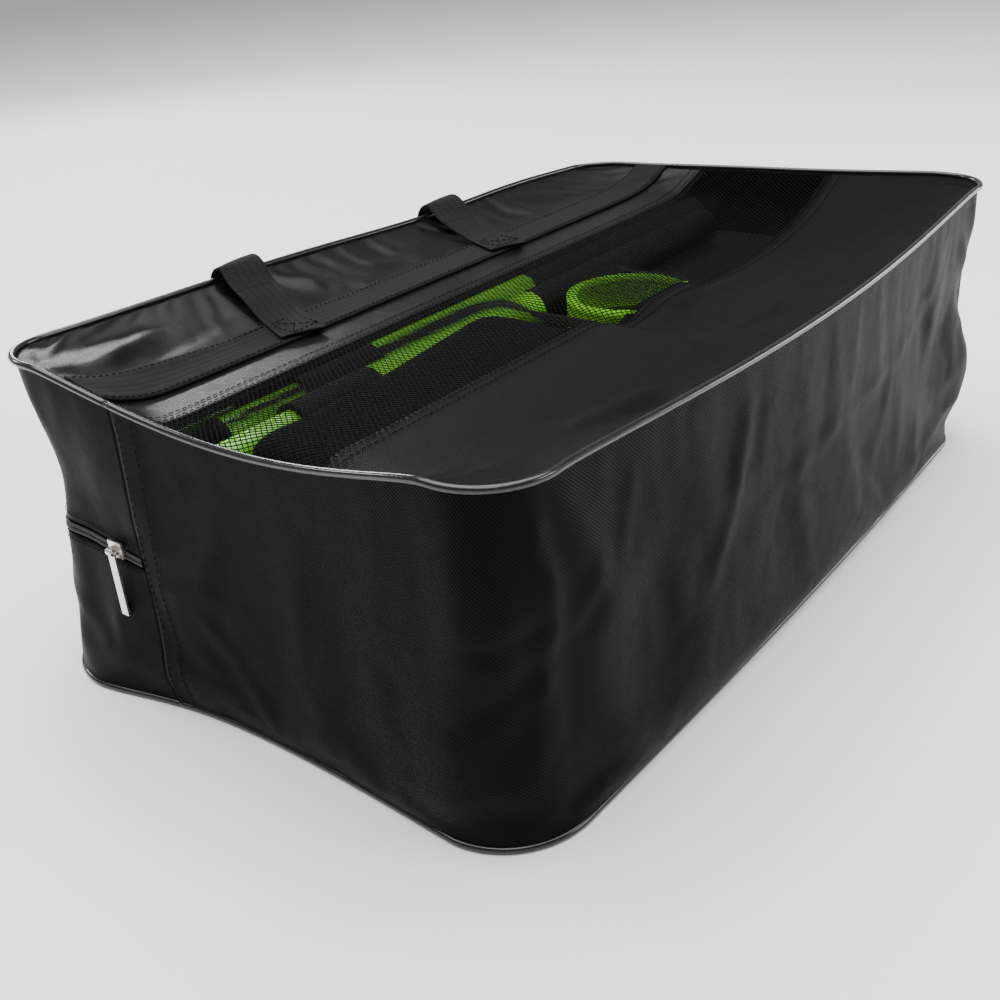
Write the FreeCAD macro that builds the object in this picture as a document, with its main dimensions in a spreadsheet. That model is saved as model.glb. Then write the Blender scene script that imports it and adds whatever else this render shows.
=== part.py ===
import FreeCAD, Part
import os
import re
import Sketcher

# Zipped carry bag holding a set of slalom (weave) poles. Millimetres.
# X runs along the bag, +Y is the zipped side with the handle, +Z is up and the bag rests on Z = 0.

doc = FreeCAD.newDocument("WeavePoleBag")
sizes = doc.addObject("Spreadsheet::Sheet", "Sizes")

drivingSizes = {
    # bag
    "bagLength": 600,
    "bagWidth": 360,
    "bagHeight": 200,
    "cornerRadius": 42,
    "fabric": 1.5,
    "hemWidth": 12,
    "hemThickness": 0.8,
    "piping": 4,
    "pipingRise": 1,
    "meshHalfWidth": 57,
    "seamPlace": 79,
    "seamTapeWidth": 10,
    # zip
    "zipOpening": 8,
    "coilSize": 2.2,
    "coilGap": 1.6,
    "tapeWidth": 12,
    "mouthClearance": 0.6,
    "sliderPlace": 100,
    "sliderLength": 12,
    "sliderPost": 3,
    "sliderHeight": 10,
    "sliderPlate": 1.4,
    "sliderClearance": 0.3,
    "bridgeBar": 1.6,
    "bridgeSpan": 9.6,
    "bridgeRise": 2.8,
    "pullerLength": 39,
    "pullerWidth": 6,
    "pullerThickness": 1.4,
    "eyeDiameter": 4.6,
    "eyeBore": 2.2,
    "eyeLength": 5,
    # webbing
    "webbingWidth": 30,
    "webbing": 1.6,
    "strapPlace": 105,
    "strapEndGap": 3,
    "legPlace": 105,
    "handleShift": 25,
    "tabLength": 30,
    "tabEnd": 119,
    "legClearance": 0.4,
    "tabClearance": 2,
    "foldClearance": 1,
    "gripClearance": 2,
    "gripDrop": 140,
    "gripRadius": 70,
    # poles
    "poleInset": 38,
    "outerTube": 27,
    "innerTube": 20,
    "tubeWall": 1.4,
    "slideClearance": 0.3,
    "stubLength": 62,
    "collarLength": 63,
    "collarRise": 0.2,
    "bandLength": 158,
    "tipLength": 4,
    "innerInset": 8,
    "poleGap": 0.2,
    "poleWallGap": 1.8,
    "poleShift": 24,
    "poleStagger": 30,
    # bases
    "baseEndGap": 15,
    "baseSideGap": 3.5,
    "baseGap": 6,
    "packRoom": 56,
    "baseRadius": 20,
    "baseRound": 5,
    "baseWall": 3,
    "stackGap": 0.4,
    "socketDepth": 50,
    "socketPlace": 60,
    "fillerInset": 55,
    "fillerDiameter": 34,
    "fillerDepth": 7,
    "fillerFit": 0.4,
    # accessories
    "pouchEndGap": 20,
    "pouchSideGap": 17,
    "pouchGap": 2.3,
    "pouchEnd": 52,
    "pouchHeight": 34,
    "pouchWall": 1.5,
    "pouchRound": 6,
    "pegDiameter": 8,
    "pegInset": 24,
    "pegMargin": 25.5,
    "coilSpace": 38,
    "coilRadius": 44,
    "coilThickness": 6,
    "coilWidth": 26,
}

poleCount = 6
stackCount = 3
layerCount = 2

for row, (alias, size) in enumerate(drivingSizes.items(), start=1):
    sizes.set("A%d" % row, alias)
    sizes.set("B%d" % row, str(size))
    sizes.setAlias("B%d" % row, alias)
doc.recompute()


def bound(expression):
    """The same expression with every alias read from the spreadsheet."""
    aliases = "|".join(sorted(drivingSizes, key=len, reverse=True))
    return re.sub(r"\b(%s)\b" % aliases, r"Sizes.\1", str(expression))


def amount(expression):
    """The number that an expression has now."""
    return float(sizes.evalExpression(bound(expression)))


def bind(item, prop, expression):
    item.setExpression(prop, bound(expression))


def originPlane(body, role):
    return [feature for feature in body.Origin.OriginFeatures if feature.Role == role][0]


def newSketch(body, name, role, offset):
    """A sketch on one of the body's origin planes, moved along its normal by offset."""
    sketch = body.newObject("Sketcher::SketchObject", name)
    sketch.AttachmentSupport = [(originPlane(body, role), "")]
    sketch.MapMode = "FlatFace"
    bind(sketch, "AttachmentOffset.Base.z", offset)
    return sketch


def constrain(sketch, kind, *values, expression=None):
    index = sketch.addConstraint(Sketcher.Constraint(kind, *values))
    if expression is not None:
        bind(sketch, "Constraints[%d]" % index, expression)


def cornerArc(centre, radius, first, last):
    """The quarter arc from first to last, and which of its own ends each one is."""
    circle = Part.Circle(centre, FreeCAD.Vector(0, 0, 1), radius)
    turn = (first - centre).cross(last - centre).z
    if turn > 0:
        return Part.ArcOfCircle(circle, circle.parameter(first), circle.parameter(last)), 1, 2
    return Part.ArcOfCircle(circle, circle.parameter(last), circle.parameter(first)), 2, 1


def drawOutline(sketch, corners):
    """A closed outline of level and upright lines. Each corner is (x, y, radius or None)."""
    points = [FreeCAD.Vector(amount(x), amount(y), 0) for x, y, radius in corners]
    total = len(points)
    entries = [None] * total
    exits = [None] * total
    arcs = [None] * total
    for index, (x, y, radius) in enumerate(corners):
        entries[index] = exits[index] = points[index]
        if radius is None:
            continue
        size = amount(radius)
        arriving = (points[index] - points[index - 1]).normalize() * size
        leaving = (points[(index + 1) % total] - points[index]).normalize() * size
        entries[index] = points[index] - arriving
        exits[index] = points[index] + leaving
        arcs[index] = cornerArc(entries[index] + leaving, size, entries[index], exits[index])
    chain = []
    for index in range(total):
        after = (index + 1) % total
        line = sketch.addGeometry(Part.LineSegment(exits[index], entries[after]), False)
        chain.append((line, 1, 2, False))
        x, y, radius = corners[index]
        if abs(points[index].x - points[after].x) < 1e-6:
            constrain(sketch, "Vertical", line)
            constrain(sketch, "DistanceX", -1, 1, line, 1, points[index].x, expression=x)
        else:
            constrain(sketch, "Horizontal", line)
            constrain(sketch, "DistanceY", -1, 1, line, 1, points[index].y, expression=y)
        if arcs[after] is not None:
            shape, head, tail = arcs[after]
            arc = sketch.addGeometry(shape, False)
            chain.append((arc, head, tail, True))
            constrain(sketch, "Radius", arc, amount(corners[after][2]), expression=corners[after][2])
    for place, (item, head, tail, curved) in enumerate(chain):
        after = chain[(place + 1) % len(chain)]
        kind = "Tangent" if curved or after[3] else "Coincident"
        constrain(sketch, kind, item, tail, after[0], after[1])


def drawCircle(sketch, x, y, diameter):
    centre = FreeCAD.Vector(amount(x), amount(y), 0)
    circle = Part.Circle(centre, FreeCAD.Vector(0, 0, 1), amount(diameter) / 2)
    item = sketch.addGeometry(circle, False)
    constrain(sketch, "Diameter", item, amount(diameter), expression=diameter)
    for kind, place in (("DistanceX", x), ("DistanceY", y)):
        if amount(place) == 0:
            direction = -2 if kind == "DistanceX" else -1
            constrain(sketch, "PointOnObject", item, 3, direction)
        else:
            constrain(sketch, kind, -1, 1, item, 3, amount(place), expression=place)


def padded(label, corners, offset, length, role="XY_Plane"):
    """A body padded from one closed outline."""
    body = doc.addObject("PartDesign::Body", label)
    sketch = newSketch(body, label + "_sketch", role, offset)
    drawOutline(sketch, corners)
    pad = body.newObject("PartDesign::Pad", label + "_pad")
    pad.Profile = sketch
    bind(pad, "Length", length)
    body.Tip = pad
    sketch.Visibility = False
    return body


def rectangle(west, east, south, north, southRadius=None, northRadius=None):
    return [(west, south, southRadius), (east, south, southRadius),
            (east, north, northRadius), (west, north, northRadius)]


def horseshoe(outside, thickness, side, reach):
    """Three walls of the bag's outline, joined by its rounded corners.

    outside is how far the outer face stands off the bag's own wall, side is -1 for the front
    three walls and 1 for the zipped ones, and reach is where the two end walls stop.
    """
    outline = []
    for shift, order in (("(%s)" % outside, 1), ("((%s) - (%s))" % (outside, thickness), -1)):
        x = "(bagLength/2 + %s)" % shift
        y = "%d*(bagWidth/2 + %s)" % (side, shift)
        radius = "cornerRadius + %s" % shift
        run = [("-" + x, reach, None), ("-" + x, y, radius), (x, y, radius), (x, reach, None)]
        outline += run[::order]
    return outline


def bagWalls(label, outside, thickness, side, reach, low, height):
    return padded(label, horseshoe(outside, thickness, side, reach), low, height)


def box(name, low, size):
    """A Part box from its low corner and its size, each given as three expressions."""
    item = doc.addObject("Part::Box", name)
    for prop, expression in zip(("Length", "Width", "Height"), size):
        bind(item, prop, expression)
    for axis, expression in zip("xyz", low):
        bind(item, "Placement.Base." + axis, expression)
    return item


def cylinder(name, axis, start, diameter, length):
    """A Part cylinder along X, Y or Z from the centre of its first end."""
    item = doc.addObject("Part::Cylinder", name)
    turns = {"X": (0, 1, 0, 90), "Y": (1, 0, 0, -90), "Z": (0, 0, 1, 0)}
    x, y, z, angle = turns[axis]
    item.Placement.Rotation = FreeCAD.Rotation(FreeCAD.Vector(x, y, z), angle)
    bind(item, "Radius", "(%s)/2" % diameter)
    bind(item, "Height", length)
    for letter, expression in zip("xyz", start):
        bind(item, "Placement.Base." + letter, expression)
    return item


def joined(label, kind, members):
    item = doc.addObject(kind, label)
    if kind == "Part::Compound":
        item.Links = members
    elif kind == "Part::Cut":
        item.Base, item.Tool = members
    else:
        item.Shapes = members
    return item


def moved(item, x="0", y="0", z="0"):
    for axis, expression in zip("xyz", (x, y, z)):
        bind(item, "Placement.Base." + axis, expression)
    return item


# Sizes and places that several pieces share
halfLength = "bagLength/2"
halfWidth = "bagWidth/2"
zipHeight = "(bagHeight/2)"
panelLow = "bagHeight - fabric"
wallHeight = "bagHeight - 2*fabric"
mouthStart = "(seamPlace + mouthClearance)"
lowerEdge = "(%s - zipOpening/2)" % zipHeight
upperEdge = "(%s + zipOpening/2)" % zipHeight
coilOffset = "(coilSize - fabric)"
pipingOffset = "piping"
pipingLow = "bagHeight - piping + pipingRise"
strapTop = "(bagHeight + webbing)"
legLow = "(%s + legClearance)" % strapTop
gripFace = "(bagWidth/2 + piping + gripClearance)"
baseLength = "((bagLength - 2*fabric - 2*baseEndGap - %d*baseGap)/%d)" % (stackCount - 1, stackCount)
baseWidth = "(bagWidth - 2*fabric - 2*baseSideGap)"
baseHeight = "((bagHeight - packRoom)/%d)" % layerCount
basePitch = "(%s + baseGap)" % baseLength
shelf = "(fabric + %d*(%s + stackGap))" % (layerCount, baseHeight)
poleLength = "(bagLength - 2*poleInset)"
collarDiameter = "(outerTube + 2*collarRise)"
polePitch = "(%s + poleGap)" % collarDiameter
firstRow = "(bagWidth/2 - fabric - poleWallGap - %s/2 - %d*%s)" % (collarDiameter, poleCount - 1, polePitch)
pouchLength = "(bagLength/2 - pouchEndGap - pouchEnd)"
pouchNorth = "(%s - %s/2 - pouchGap)" % (firstRow, collarDiameter)
pouchWidth = "(%s + bagWidth/2 - pouchSideGap)" % pouchNorth
pegPitch = "((%s - 2*pouchWall - 2*pegMargin - pegDiameter)/%d)" % (pouchWidth, poleCount - 1)
fillerPlace = "(%s/2 - fillerInset)" % baseWidth
nodes = []


def makeBag():
    """Panels, gusset and trim that stay with the bottom of the bag."""
    nodes.append(padded("bottom_panel", rectangle("-" + halfLength, halfLength, "-" + halfWidth, halfWidth,
                                                  "cornerRadius", "cornerRadius"), "0", "fabric"))
    nodes.append(bagWalls("bottom_piping_front", pipingOffset, "piping", -1, "seamPlace", "0", "piping"))
    nodes.append(bagWalls("bottom_piping_rear", pipingOffset, "piping", 1, "seamPlace", "0", "piping"))
    nodes.append(bagWalls("front_gusset", "0", "fabric", -1, "seamPlace", "fabric", wallHeight))
    nodes.append(bagWalls("lower_zip_panel", "0", "fabric", 1, "seamPlace", "fabric",
                          lowerEdge + " - fabric"))
    nodes.append(bagWalls("top_piping_front", pipingOffset, "piping", -1, "seamPlace", pipingLow, "piping"))
    nodes.append(padded("front_top_panel", rectangle("-" + halfLength, halfLength, "-" + halfWidth,
                                                     "-meshHalfWidth", "cornerRadius"), panelLow, "fabric"))
    nodes.append(padded("mesh_panel", rectangle("-" + halfLength, halfLength, "-meshHalfWidth",
                                                "meshHalfWidth"), panelLow, "fabric"))
    nodes.append(padded("top_strip_root", rectangle("-" + halfLength, halfLength, "meshHalfWidth",
                                                    "seamPlace"), panelLow, "fabric"))
    for label, side in (("mesh_hem_front", "-"), ("mesh_hem_rear", "")):
        outline = rectangle("-(bagLength/2 - fabric)", "bagLength/2 - fabric", "-hemWidth/2", "hemWidth/2")
        hem = padded(label, outline, panelLow + " - hemThickness", "hemThickness")
        nodes.append(moved(hem, y=side + "meshHalfWidth"))
    for label, side in (("end_seam_tape_left", "-"), ("end_seam_tape_right", "")):
        tape = padded(label, rectangle("-hemThickness/2", "hemThickness/2", "-seamTapeWidth", "0"),
                      "fabric", wallHeight + " - hemThickness")
        nodes.append(moved(tape, x=side + "(bagLength/2 - fabric - hemThickness/2)", y="seamPlace"))


def makeZip():
    """Tapes and coils on both edges of the mouth, the slider and its puller."""
    for name, tapeLow, coilLow in (
            ("lower", zipHeight + " - coilGap/2 - tapeWidth", zipHeight + " - coilGap/2 - coilSize"),
            ("upper", zipHeight + " + coilGap/2", zipHeight + " + coilGap/2")):
        nodes.append(bagWalls("zip_tape_" + name, "-fabric", "hemThickness", 1, mouthStart, tapeLow,
                              "tapeWidth"))
        nodes.append(bagWalls("zip_coil_" + name, coilOffset, "coilSize", 1, mouthStart, coilLow,
                              "coilSize"))
    outerFace = "(bagLength/2 + coilSize - fabric + sliderClearance)"
    innerFace = "(bagLength/2 - fabric - hemThickness - sliderClearance)"
    barPlace = "(%s + sliderPlate + bridgeRise)" % outerFace
    sliderStart = "sliderPlace - sliderLength/2"
    sliderLow = zipHeight + " - sliderHeight/2"
    postLow = zipHeight + " - coilGap/2 + sliderClearance"
    pieces = [
        box("slider_outer_plate", ("-(%s + sliderPlate)" % outerFace, sliderStart, sliderLow),
            ("sliderPlate", "sliderLength", "sliderHeight")),
        box("slider_inner_plate", ("-" + innerFace, sliderStart, sliderLow),
            ("sliderPlate", "sliderLength", "sliderHeight")),
        box("slider_post", ("-(%s + sliderPlate/2)" % outerFace, sliderStart, postLow),
            ("%s - %s + sliderPlate" % (outerFace, innerFace), "sliderPost", "coilGap - 2*sliderClearance")),
        cylinder("bridge_bar", "Y", ("-" + barPlace, "sliderPlace - bridgeSpan/2", zipHeight),
                 "bridgeBar", "bridgeSpan"),
    ]
    for end, place in (("rear", "sliderPlace + bridgeSpan/2 - bridgeBar"),
                       ("front", "sliderPlace - bridgeSpan/2")):
        pieces.append(box("bridge_foot_" + end, ("-" + barPlace, place, zipHeight + " - bridgeBar/2"),
                          ("bridgeRise + sliderPlate/2", "bridgeBar", "bridgeBar")))
    nodes.append(joined("zip_slider", "Part::MultiFuse", pieces))
    eye = cylinder("puller_eye", "Y", ("-" + barPlace, "sliderPlace - eyeLength/2", zipHeight),
                   "eyeDiameter", "eyeLength")
    plate = box("puller_plate", ("-(%s + pullerThickness/2)" % barPlace, "sliderPlace - pullerWidth/2",
                                 zipHeight + " - eyeDiameter/2 - pullerLength"),
                ("pullerThickness", "pullerWidth",
                 "pullerLength + eyeDiameter/2 - (eyeDiameter + eyeBore)/4"))
    blank = joined("puller_blank", "Part::MultiFuse", [eye, plate])
    bore = cylinder("puller_bore", "Y", ("-" + barPlace, "sliderPlace - eyeLength", zipHeight),
                    "eyeBore", "2*eyeLength")
    nodes.append(joined("zip_puller", "Part::Cut", [blank, bore]))


def makeMouth():
    """The half of the bag above the zip that folds back when it is open."""
    nodes.append(padded("rear_top_panel", rectangle("-" + halfLength, halfLength, mouthStart, halfWidth,
                                                    None, "cornerRadius"), panelLow, "fabric"))
    nodes.append(bagWalls("upper_zip_panel", "0", "fabric", 1, mouthStart, upperEdge,
                          "bagHeight - fabric - " + upperEdge))
    nodes.append(bagWalls("top_piping_rear", pipingOffset, "piping", 1, mouthStart + " + pipingRise",
                          pipingLow, "piping"))
    strap = rectangle("-(bagLength/2 - strapEndGap)", "bagLength/2 - strapEndGap",
                      "strapPlace - webbingWidth/2", "strapPlace + webbingWidth/2")
    nodes.append(padded("webbing_strap", strap, "bagHeight", "webbing"))


def makeHandle():
    """One loop of webbing: two sewn tabs, two legs over the rim and the hanging grip."""
    for name, side in (("left", "-"), ("right", "")):
        centre = side + "legPlace"
        west = "%s - webbingWidth/2" % centre
        east = "%s + webbingWidth/2" % centre
        tab = padded("handle_tab_" + name, rectangle(west, east, "tabEnd - tabLength", "tabEnd"),
                     strapTop, "webbing")
        leg = padded("handle_leg_" + name,
                     rectangle(west, east, "tabEnd + tabClearance", gripFace + " - foldClearance"),
                     legLow, "webbing")
        nodes.append(moved(tab, x="-handleShift"))
        nodes.append(moved(leg, x="-handleShift"))
    outerX = "(legPlace + webbingWidth/2)"
    innerX = "(legPlace - webbingWidth/2)"
    gripTop = legLow + " - foldClearance"
    low = "(bagHeight - gripDrop)"
    inside = "gripRadius - webbingWidth"
    outline = [("-" + outerX, gripTop, None), ("-" + outerX, low, "gripRadius"),
               (outerX, low, "gripRadius"), (outerX, gripTop, None),
               (innerX, gripTop, None), (innerX, low + " + webbingWidth", inside),
               ("-" + innerX, low + " + webbingWidth", inside), ("-" + innerX, gripTop, None)]
    grip = padded("handle_grip", outline, "-(%s + webbing)" % gripFace, "webbing", "XZ_Plane")
    nodes.append(moved(grip, x="-handleShift"))


def tube(label, outside, bore, length):
    body = doc.addObject("PartDesign::Body", label)
    sketch = newSketch(body, label + "_sketch", "YZ_Plane", "0")
    drawCircle(sketch, "0", "0", outside)
    drawCircle(sketch, "0", "0", bore)
    pad = body.newObject("PartDesign::Pad", label + "_pad")
    pad.Profile = sketch
    bind(pad, "Length", length)
    body.Tip = pad
    sketch.Visibility = False
    return body


def sleeve(name, start, outside, bore, length):
    """A hollow Part cylinder along X."""
    hole = cylinder(name + "_hole", "X", start, bore, length)
    skin = cylinder(name + "_skin", "X", start, outside, length)
    return joined(name, "Part::Cut", [skin, hole])


def makePoles():
    """Telescopic poles in one row: outer tube, locking collar, inner tube, tip and end sleeve."""
    sleeves = []
    tips = []
    innerBore = "innerTube - 2*tubeWall"
    outerBore = "outerTube - 2*tubeWall"
    banded = "stubLength + collarLength + bandLength"
    axisHeight = "(%s + stackGap + %s/2)" % (shelf, collarDiameter)
    for index in range(poleCount):
        number = index + 1
        row = "(%s + %d*%s)" % (firstRow, index, polePitch)
        start = "(-%s/2 - poleShift + %d*poleStagger)" % (poleLength, index % 2)
        place = {"y": row, "z": axisHeight}
        nodes.append(moved(tube("pole_inner_%d" % number, "innerTube", innerBore,
                                poleLength + " - tipLength - innerInset"), x=start + " + tipLength", **place))
        nodes.append(moved(tube("pole_collar_%d" % number, collarDiameter, "innerTube + 2*slideClearance",
                                "collarLength"), x=start + " + stubLength", **place))
        nodes.append(moved(tube("pole_outer_%d" % number, "outerTube", outerBore, "bandLength"),
                           x=start + " + stubLength + collarLength", **place))
        tips.append(cylinder("pole_tip_%d" % number, "X", (start, row, axisHeight), "innerTube", "tipLength"))
        sleeves.append(sleeve("pole_sleeve_%d" % number, (start + " + " + banded, row, axisHeight),
                              "outerTube", outerBore, "%s - (%s)" % (poleLength, banded)))
    nodes.append(joined("pole_end_sleeves", "Part::Compound", sleeves))
    nodes.append(joined("pole_tips", "Part::Compound", tips))


def pocketed(body, label, x, y, diameter, depth):
    """A round pocket from the top of a base."""
    sketch = newSketch(body, label + "_sketch", "XY_Plane", baseHeight)
    drawCircle(sketch, x, y, diameter)
    pocket = body.newObject("PartDesign::Pocket", label)
    pocket.Profile = sketch
    bind(pocket, "Length", depth)
    sketch.Visibility = False
    return pocket


def hollowed(body, label):
    """The closed chamber of a base, with a column left for the socket and one for the filler."""
    sketch = newSketch(body, label + "_sketch", "XY_Plane", "baseWall")
    x = "(%s/2 - baseWall)" % baseLength
    y = "(%s/2 - baseWall)" % baseWidth
    inside = "baseRadius - baseWall"
    drawOutline(sketch, rectangle("-" + x, x, "-" + y, y, inside, inside))
    drawCircle(sketch, "0", "-socketPlace", "outerTube + 2*slideClearance + 2*baseWall")
    drawCircle(sketch, "0", fillerPlace, "fillerDiameter + 2*baseWall")
    pocket = body.newObject("PartDesign::Pocket", label)
    pocket.Profile = sketch
    pocket.Reversed = True
    bind(pocket, "Length", baseHeight + " - 2*baseWall")
    sketch.Visibility = False
    return pocket


def makeBases():
    """Fillable bases in stacks: a hollow rounded block with a pole socket and a filler cap."""
    plugs = []
    for layer in range(layerCount):
        for stack in range(stackCount):
            number = 1 + stack + stackCount * layer
            label = "base_%d" % number
            x = "%d*%s" % (stack - (stackCount - 1) // 2, basePitch)
            z = "fabric + stackGap/2 + %d*(%s + stackGap)" % (layer, baseHeight)
            body = padded(label, rectangle("-%s/2" % baseLength, "%s/2" % baseLength, "-%s/2" % baseWidth,
                                           "%s/2" % baseWidth, "baseRadius", "baseRadius"), "0", baseHeight)
            doc.recompute()
            block = body.Tip
            level = amount(baseHeight)
            rim = ["Edge%d" % (place + 1) for place, edge in enumerate(block.Shape.Edges)
                   if abs(edge.BoundBox.ZMin - level) < 1e-6]
            fillet = body.newObject("PartDesign::Fillet", label + "_round")
            fillet.Base = (block, rim)
            bind(fillet, "Radius", "baseRound")
            body.Tip = fillet
            body.Tip = hollowed(body, label + "_chamber")
            body.Tip = pocketed(body, label + "_socket", "0", "-socketPlace",
                                "outerTube + 2*slideClearance", "socketDepth")
            body.Tip = pocketed(body, label + "_filler", "0", fillerPlace, "fillerDiameter", "fillerDepth")
            nodes.append(moved(body, x=x, z=z))
            plugs.append(cylinder("filler_plug_%d" % number, "Z",
                                  (x, fillerPlace, "%s + %s - fillerDepth" % (z, baseHeight)),
                                  "fillerDiameter - 2*fillerFit", "fillerDepth - fillerFit"))
    nodes.append(joined("filler_caps", "Part::Compound", plugs))


def makeAccessories():
    """A flat pouch with ground pegs in it, and a coil of spacing tape."""
    floor = "(%s + stackGap)" % shelf
    west = "-(bagLength/2 - pouchEndGap)"
    south = "-(bagWidth/2 - pouchSideGap)"
    skin = padded("pouch_skin", rectangle("0", pouchLength, "0", pouchWidth), "0", "pouchHeight")
    doc.recompute()
    block = skin.Tip
    upright = ["Edge%d" % (place + 1) for place, edge in enumerate(block.Shape.Edges)
               if edge.BoundBox.ZLength > 1]
    fillet = skin.newObject("PartDesign::Fillet", "pouch_round")
    fillet.Base = (block, upright)
    bind(fillet, "Radius", "pouchRound")
    skin.Tip = fillet
    moved(skin, west, south, floor)
    hollow = box("pouch_hollow", (west + " + pouchWall", south + " + pouchWall", floor + " + pouchWall"),
                 (pouchLength + " - 2*pouchWall", pouchWidth + " - 2*pouchWall", "pouchHeight - 2*pouchWall"))
    hollow.Visibility = False
    nodes.append(joined("peg_pouch", "Part::Cut", [skin, hollow]))
    pegs = []
    for index in range(poleCount):
        row = "%s + %s/2 + %.1f*%s" % (south, pouchWidth, index - (poleCount - 1) / 2, pegPitch)
        pegs.append(cylinder("peg_%d" % (index + 1), "X",
                             (west + " + pegInset", row, floor + " + pouchWall + pegDiameter/2"),
                             "pegDiameter", pouchLength + " - 2*pegInset"))
    nodes.append(joined("ground_pegs", "Part::Compound", pegs))
    ring = doc.addObject("PartDesign::Body", "spacing_tape")
    sketch = newSketch(ring, "spacing_tape_sketch", "XY_Plane", "0")
    drawCircle(sketch, "0", "0", "2*coilRadius")
    drawCircle(sketch, "0", "0", "2*(coilRadius - coilThickness)")
    pad = ring.newObject("PartDesign::Pad", "spacing_tape_pad")
    pad.Profile = sketch
    bind(pad, "Length", "coilWidth")
    ring.Tip = pad
    nodes.append(moved(ring, "coilSpace + coilRadius - pouchEnd", pouchNorth + " - coilRadius", floor))


makeBag()
makeZip()
makeMouth()
makeHandle()
makePoles()
makeBases()
makeAccessories()
doc.recompute()

for item in doc.Objects:
    if "Invalid" in item.State or "Error" in item.State:
        raise RuntimeError("%s did not recompute: %s" % (item.Label, item.State))
os.makedirs("parts", exist_ok=True)
for item in nodes:
    if item.Shape.isNull() or not item.Shape.isValid():
        raise RuntimeError("%s has no valid shape" % item.Label)
    item.Shape.exportStep("parts/%s.step" % item.Label)
print("%d nodes" % len(nodes))
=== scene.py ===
import math

import bmesh
import bpy
import numpy as np
from mathutils import Matrix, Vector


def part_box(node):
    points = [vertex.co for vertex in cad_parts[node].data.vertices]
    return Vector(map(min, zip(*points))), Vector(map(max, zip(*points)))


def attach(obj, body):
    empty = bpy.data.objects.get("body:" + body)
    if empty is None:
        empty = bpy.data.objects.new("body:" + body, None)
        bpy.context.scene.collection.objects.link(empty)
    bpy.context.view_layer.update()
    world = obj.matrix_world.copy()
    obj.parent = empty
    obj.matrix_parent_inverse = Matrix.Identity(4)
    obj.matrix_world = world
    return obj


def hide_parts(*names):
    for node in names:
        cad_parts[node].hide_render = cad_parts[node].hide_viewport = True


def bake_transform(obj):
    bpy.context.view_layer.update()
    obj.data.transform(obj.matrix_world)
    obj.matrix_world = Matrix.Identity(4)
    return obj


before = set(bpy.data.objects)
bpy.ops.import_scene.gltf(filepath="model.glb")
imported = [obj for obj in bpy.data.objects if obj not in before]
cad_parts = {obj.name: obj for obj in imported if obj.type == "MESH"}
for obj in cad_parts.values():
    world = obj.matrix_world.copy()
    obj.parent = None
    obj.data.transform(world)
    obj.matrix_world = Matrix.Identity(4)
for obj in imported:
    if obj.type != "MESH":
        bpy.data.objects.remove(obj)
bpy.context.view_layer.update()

# A zipped carry bag for a set of weave poles, in metres
# X runs along the bag, +Y is the zipped side, Z is up

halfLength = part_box("bottom_panel")[1].x
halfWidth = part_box("bottom_panel")[1].y
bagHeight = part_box("front_top_panel")[1].z
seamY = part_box("front_gusset")[1].y
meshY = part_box("mesh_panel")[1].y
zipZ = (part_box("zip_coil_lower")[1].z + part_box("zip_coil_upper")[0].z) / 2

bag = {
    "cornerRadius": 0.042,  # along which the distance round the bag is counted
    "topRadius": 0.035,
    "bottomRadius": 0.050,
    "topStand": {"west": -0.007, "south": 0.0096, "east": -0.004, "north": 0.002},
    "topSag": {"west": 0.020, "south": 0.0064, "east": 0.004, "north": 0.003},
    "bottomStand": {"west": -0.006, "south": 0.004, "east": -0.004, "north": 0.002},
    # (distance round the bag, size along it, how far out, how far up) of single bends in a rim
    "topBends": [
        (1.700, 0.050, 0.002, 0.002),
        (1.090, 0.110, -0.010, -0.010),
        (1.300, 0.120, -0.004, -0.006),
    ],
    "bottomBends": [(1.690, 0.070, 0.014, 0.0)],
    "rows": 36,
    "step": 0.0055,
    "wallGrowth": 0.0025,
    "topGrowth": 0.012,
    "wallCap": 0.010,
    "topCap": 0.016,
    "cloth": 0.0009,
    "bottomEdge": 0.002,
    "wallBelly": 0.004,
    "foldBand": 0.010,
}


class Value:
    # One output socket, on which + - * / work and lay down Math nodes

    def __init__(self, maker, output):
        self.maker = maker
        self.output = output

    def maths(self, operation, *others):
        return self.maker.node("ShaderNodeMath", {"operation": operation}, [self, *others])[0]

    def __add__(self, other):
        return self.maths("ADD", other)

    def __sub__(self, other):
        return self.maths("SUBTRACT", other)

    def __mul__(self, other):
        return self.maths("MULTIPLY", other)

    def __truediv__(self, other):
        return self.maths("DIVIDE", other)

    def __rsub__(self, other):
        return self.maker.node("ShaderNodeMath", {"operation": "SUBTRACT"}, [other, self])[0]

    __radd__ = __add__
    __rmul__ = __mul__

    def sine(self):
        return self.maths("SINE")

    def power(self, other):
        return self.maths("POWER", other)

    def above(self, edge, softness):
        # 0 below the edge, 1 above it, over a band of that softness
        return self.maker.node("ShaderNodeMapRange", {"interpolation_type": "SMOOTHSTEP"},
                               [self, edge - softness, edge + softness, 0.0, 1.0])[0]


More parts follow.
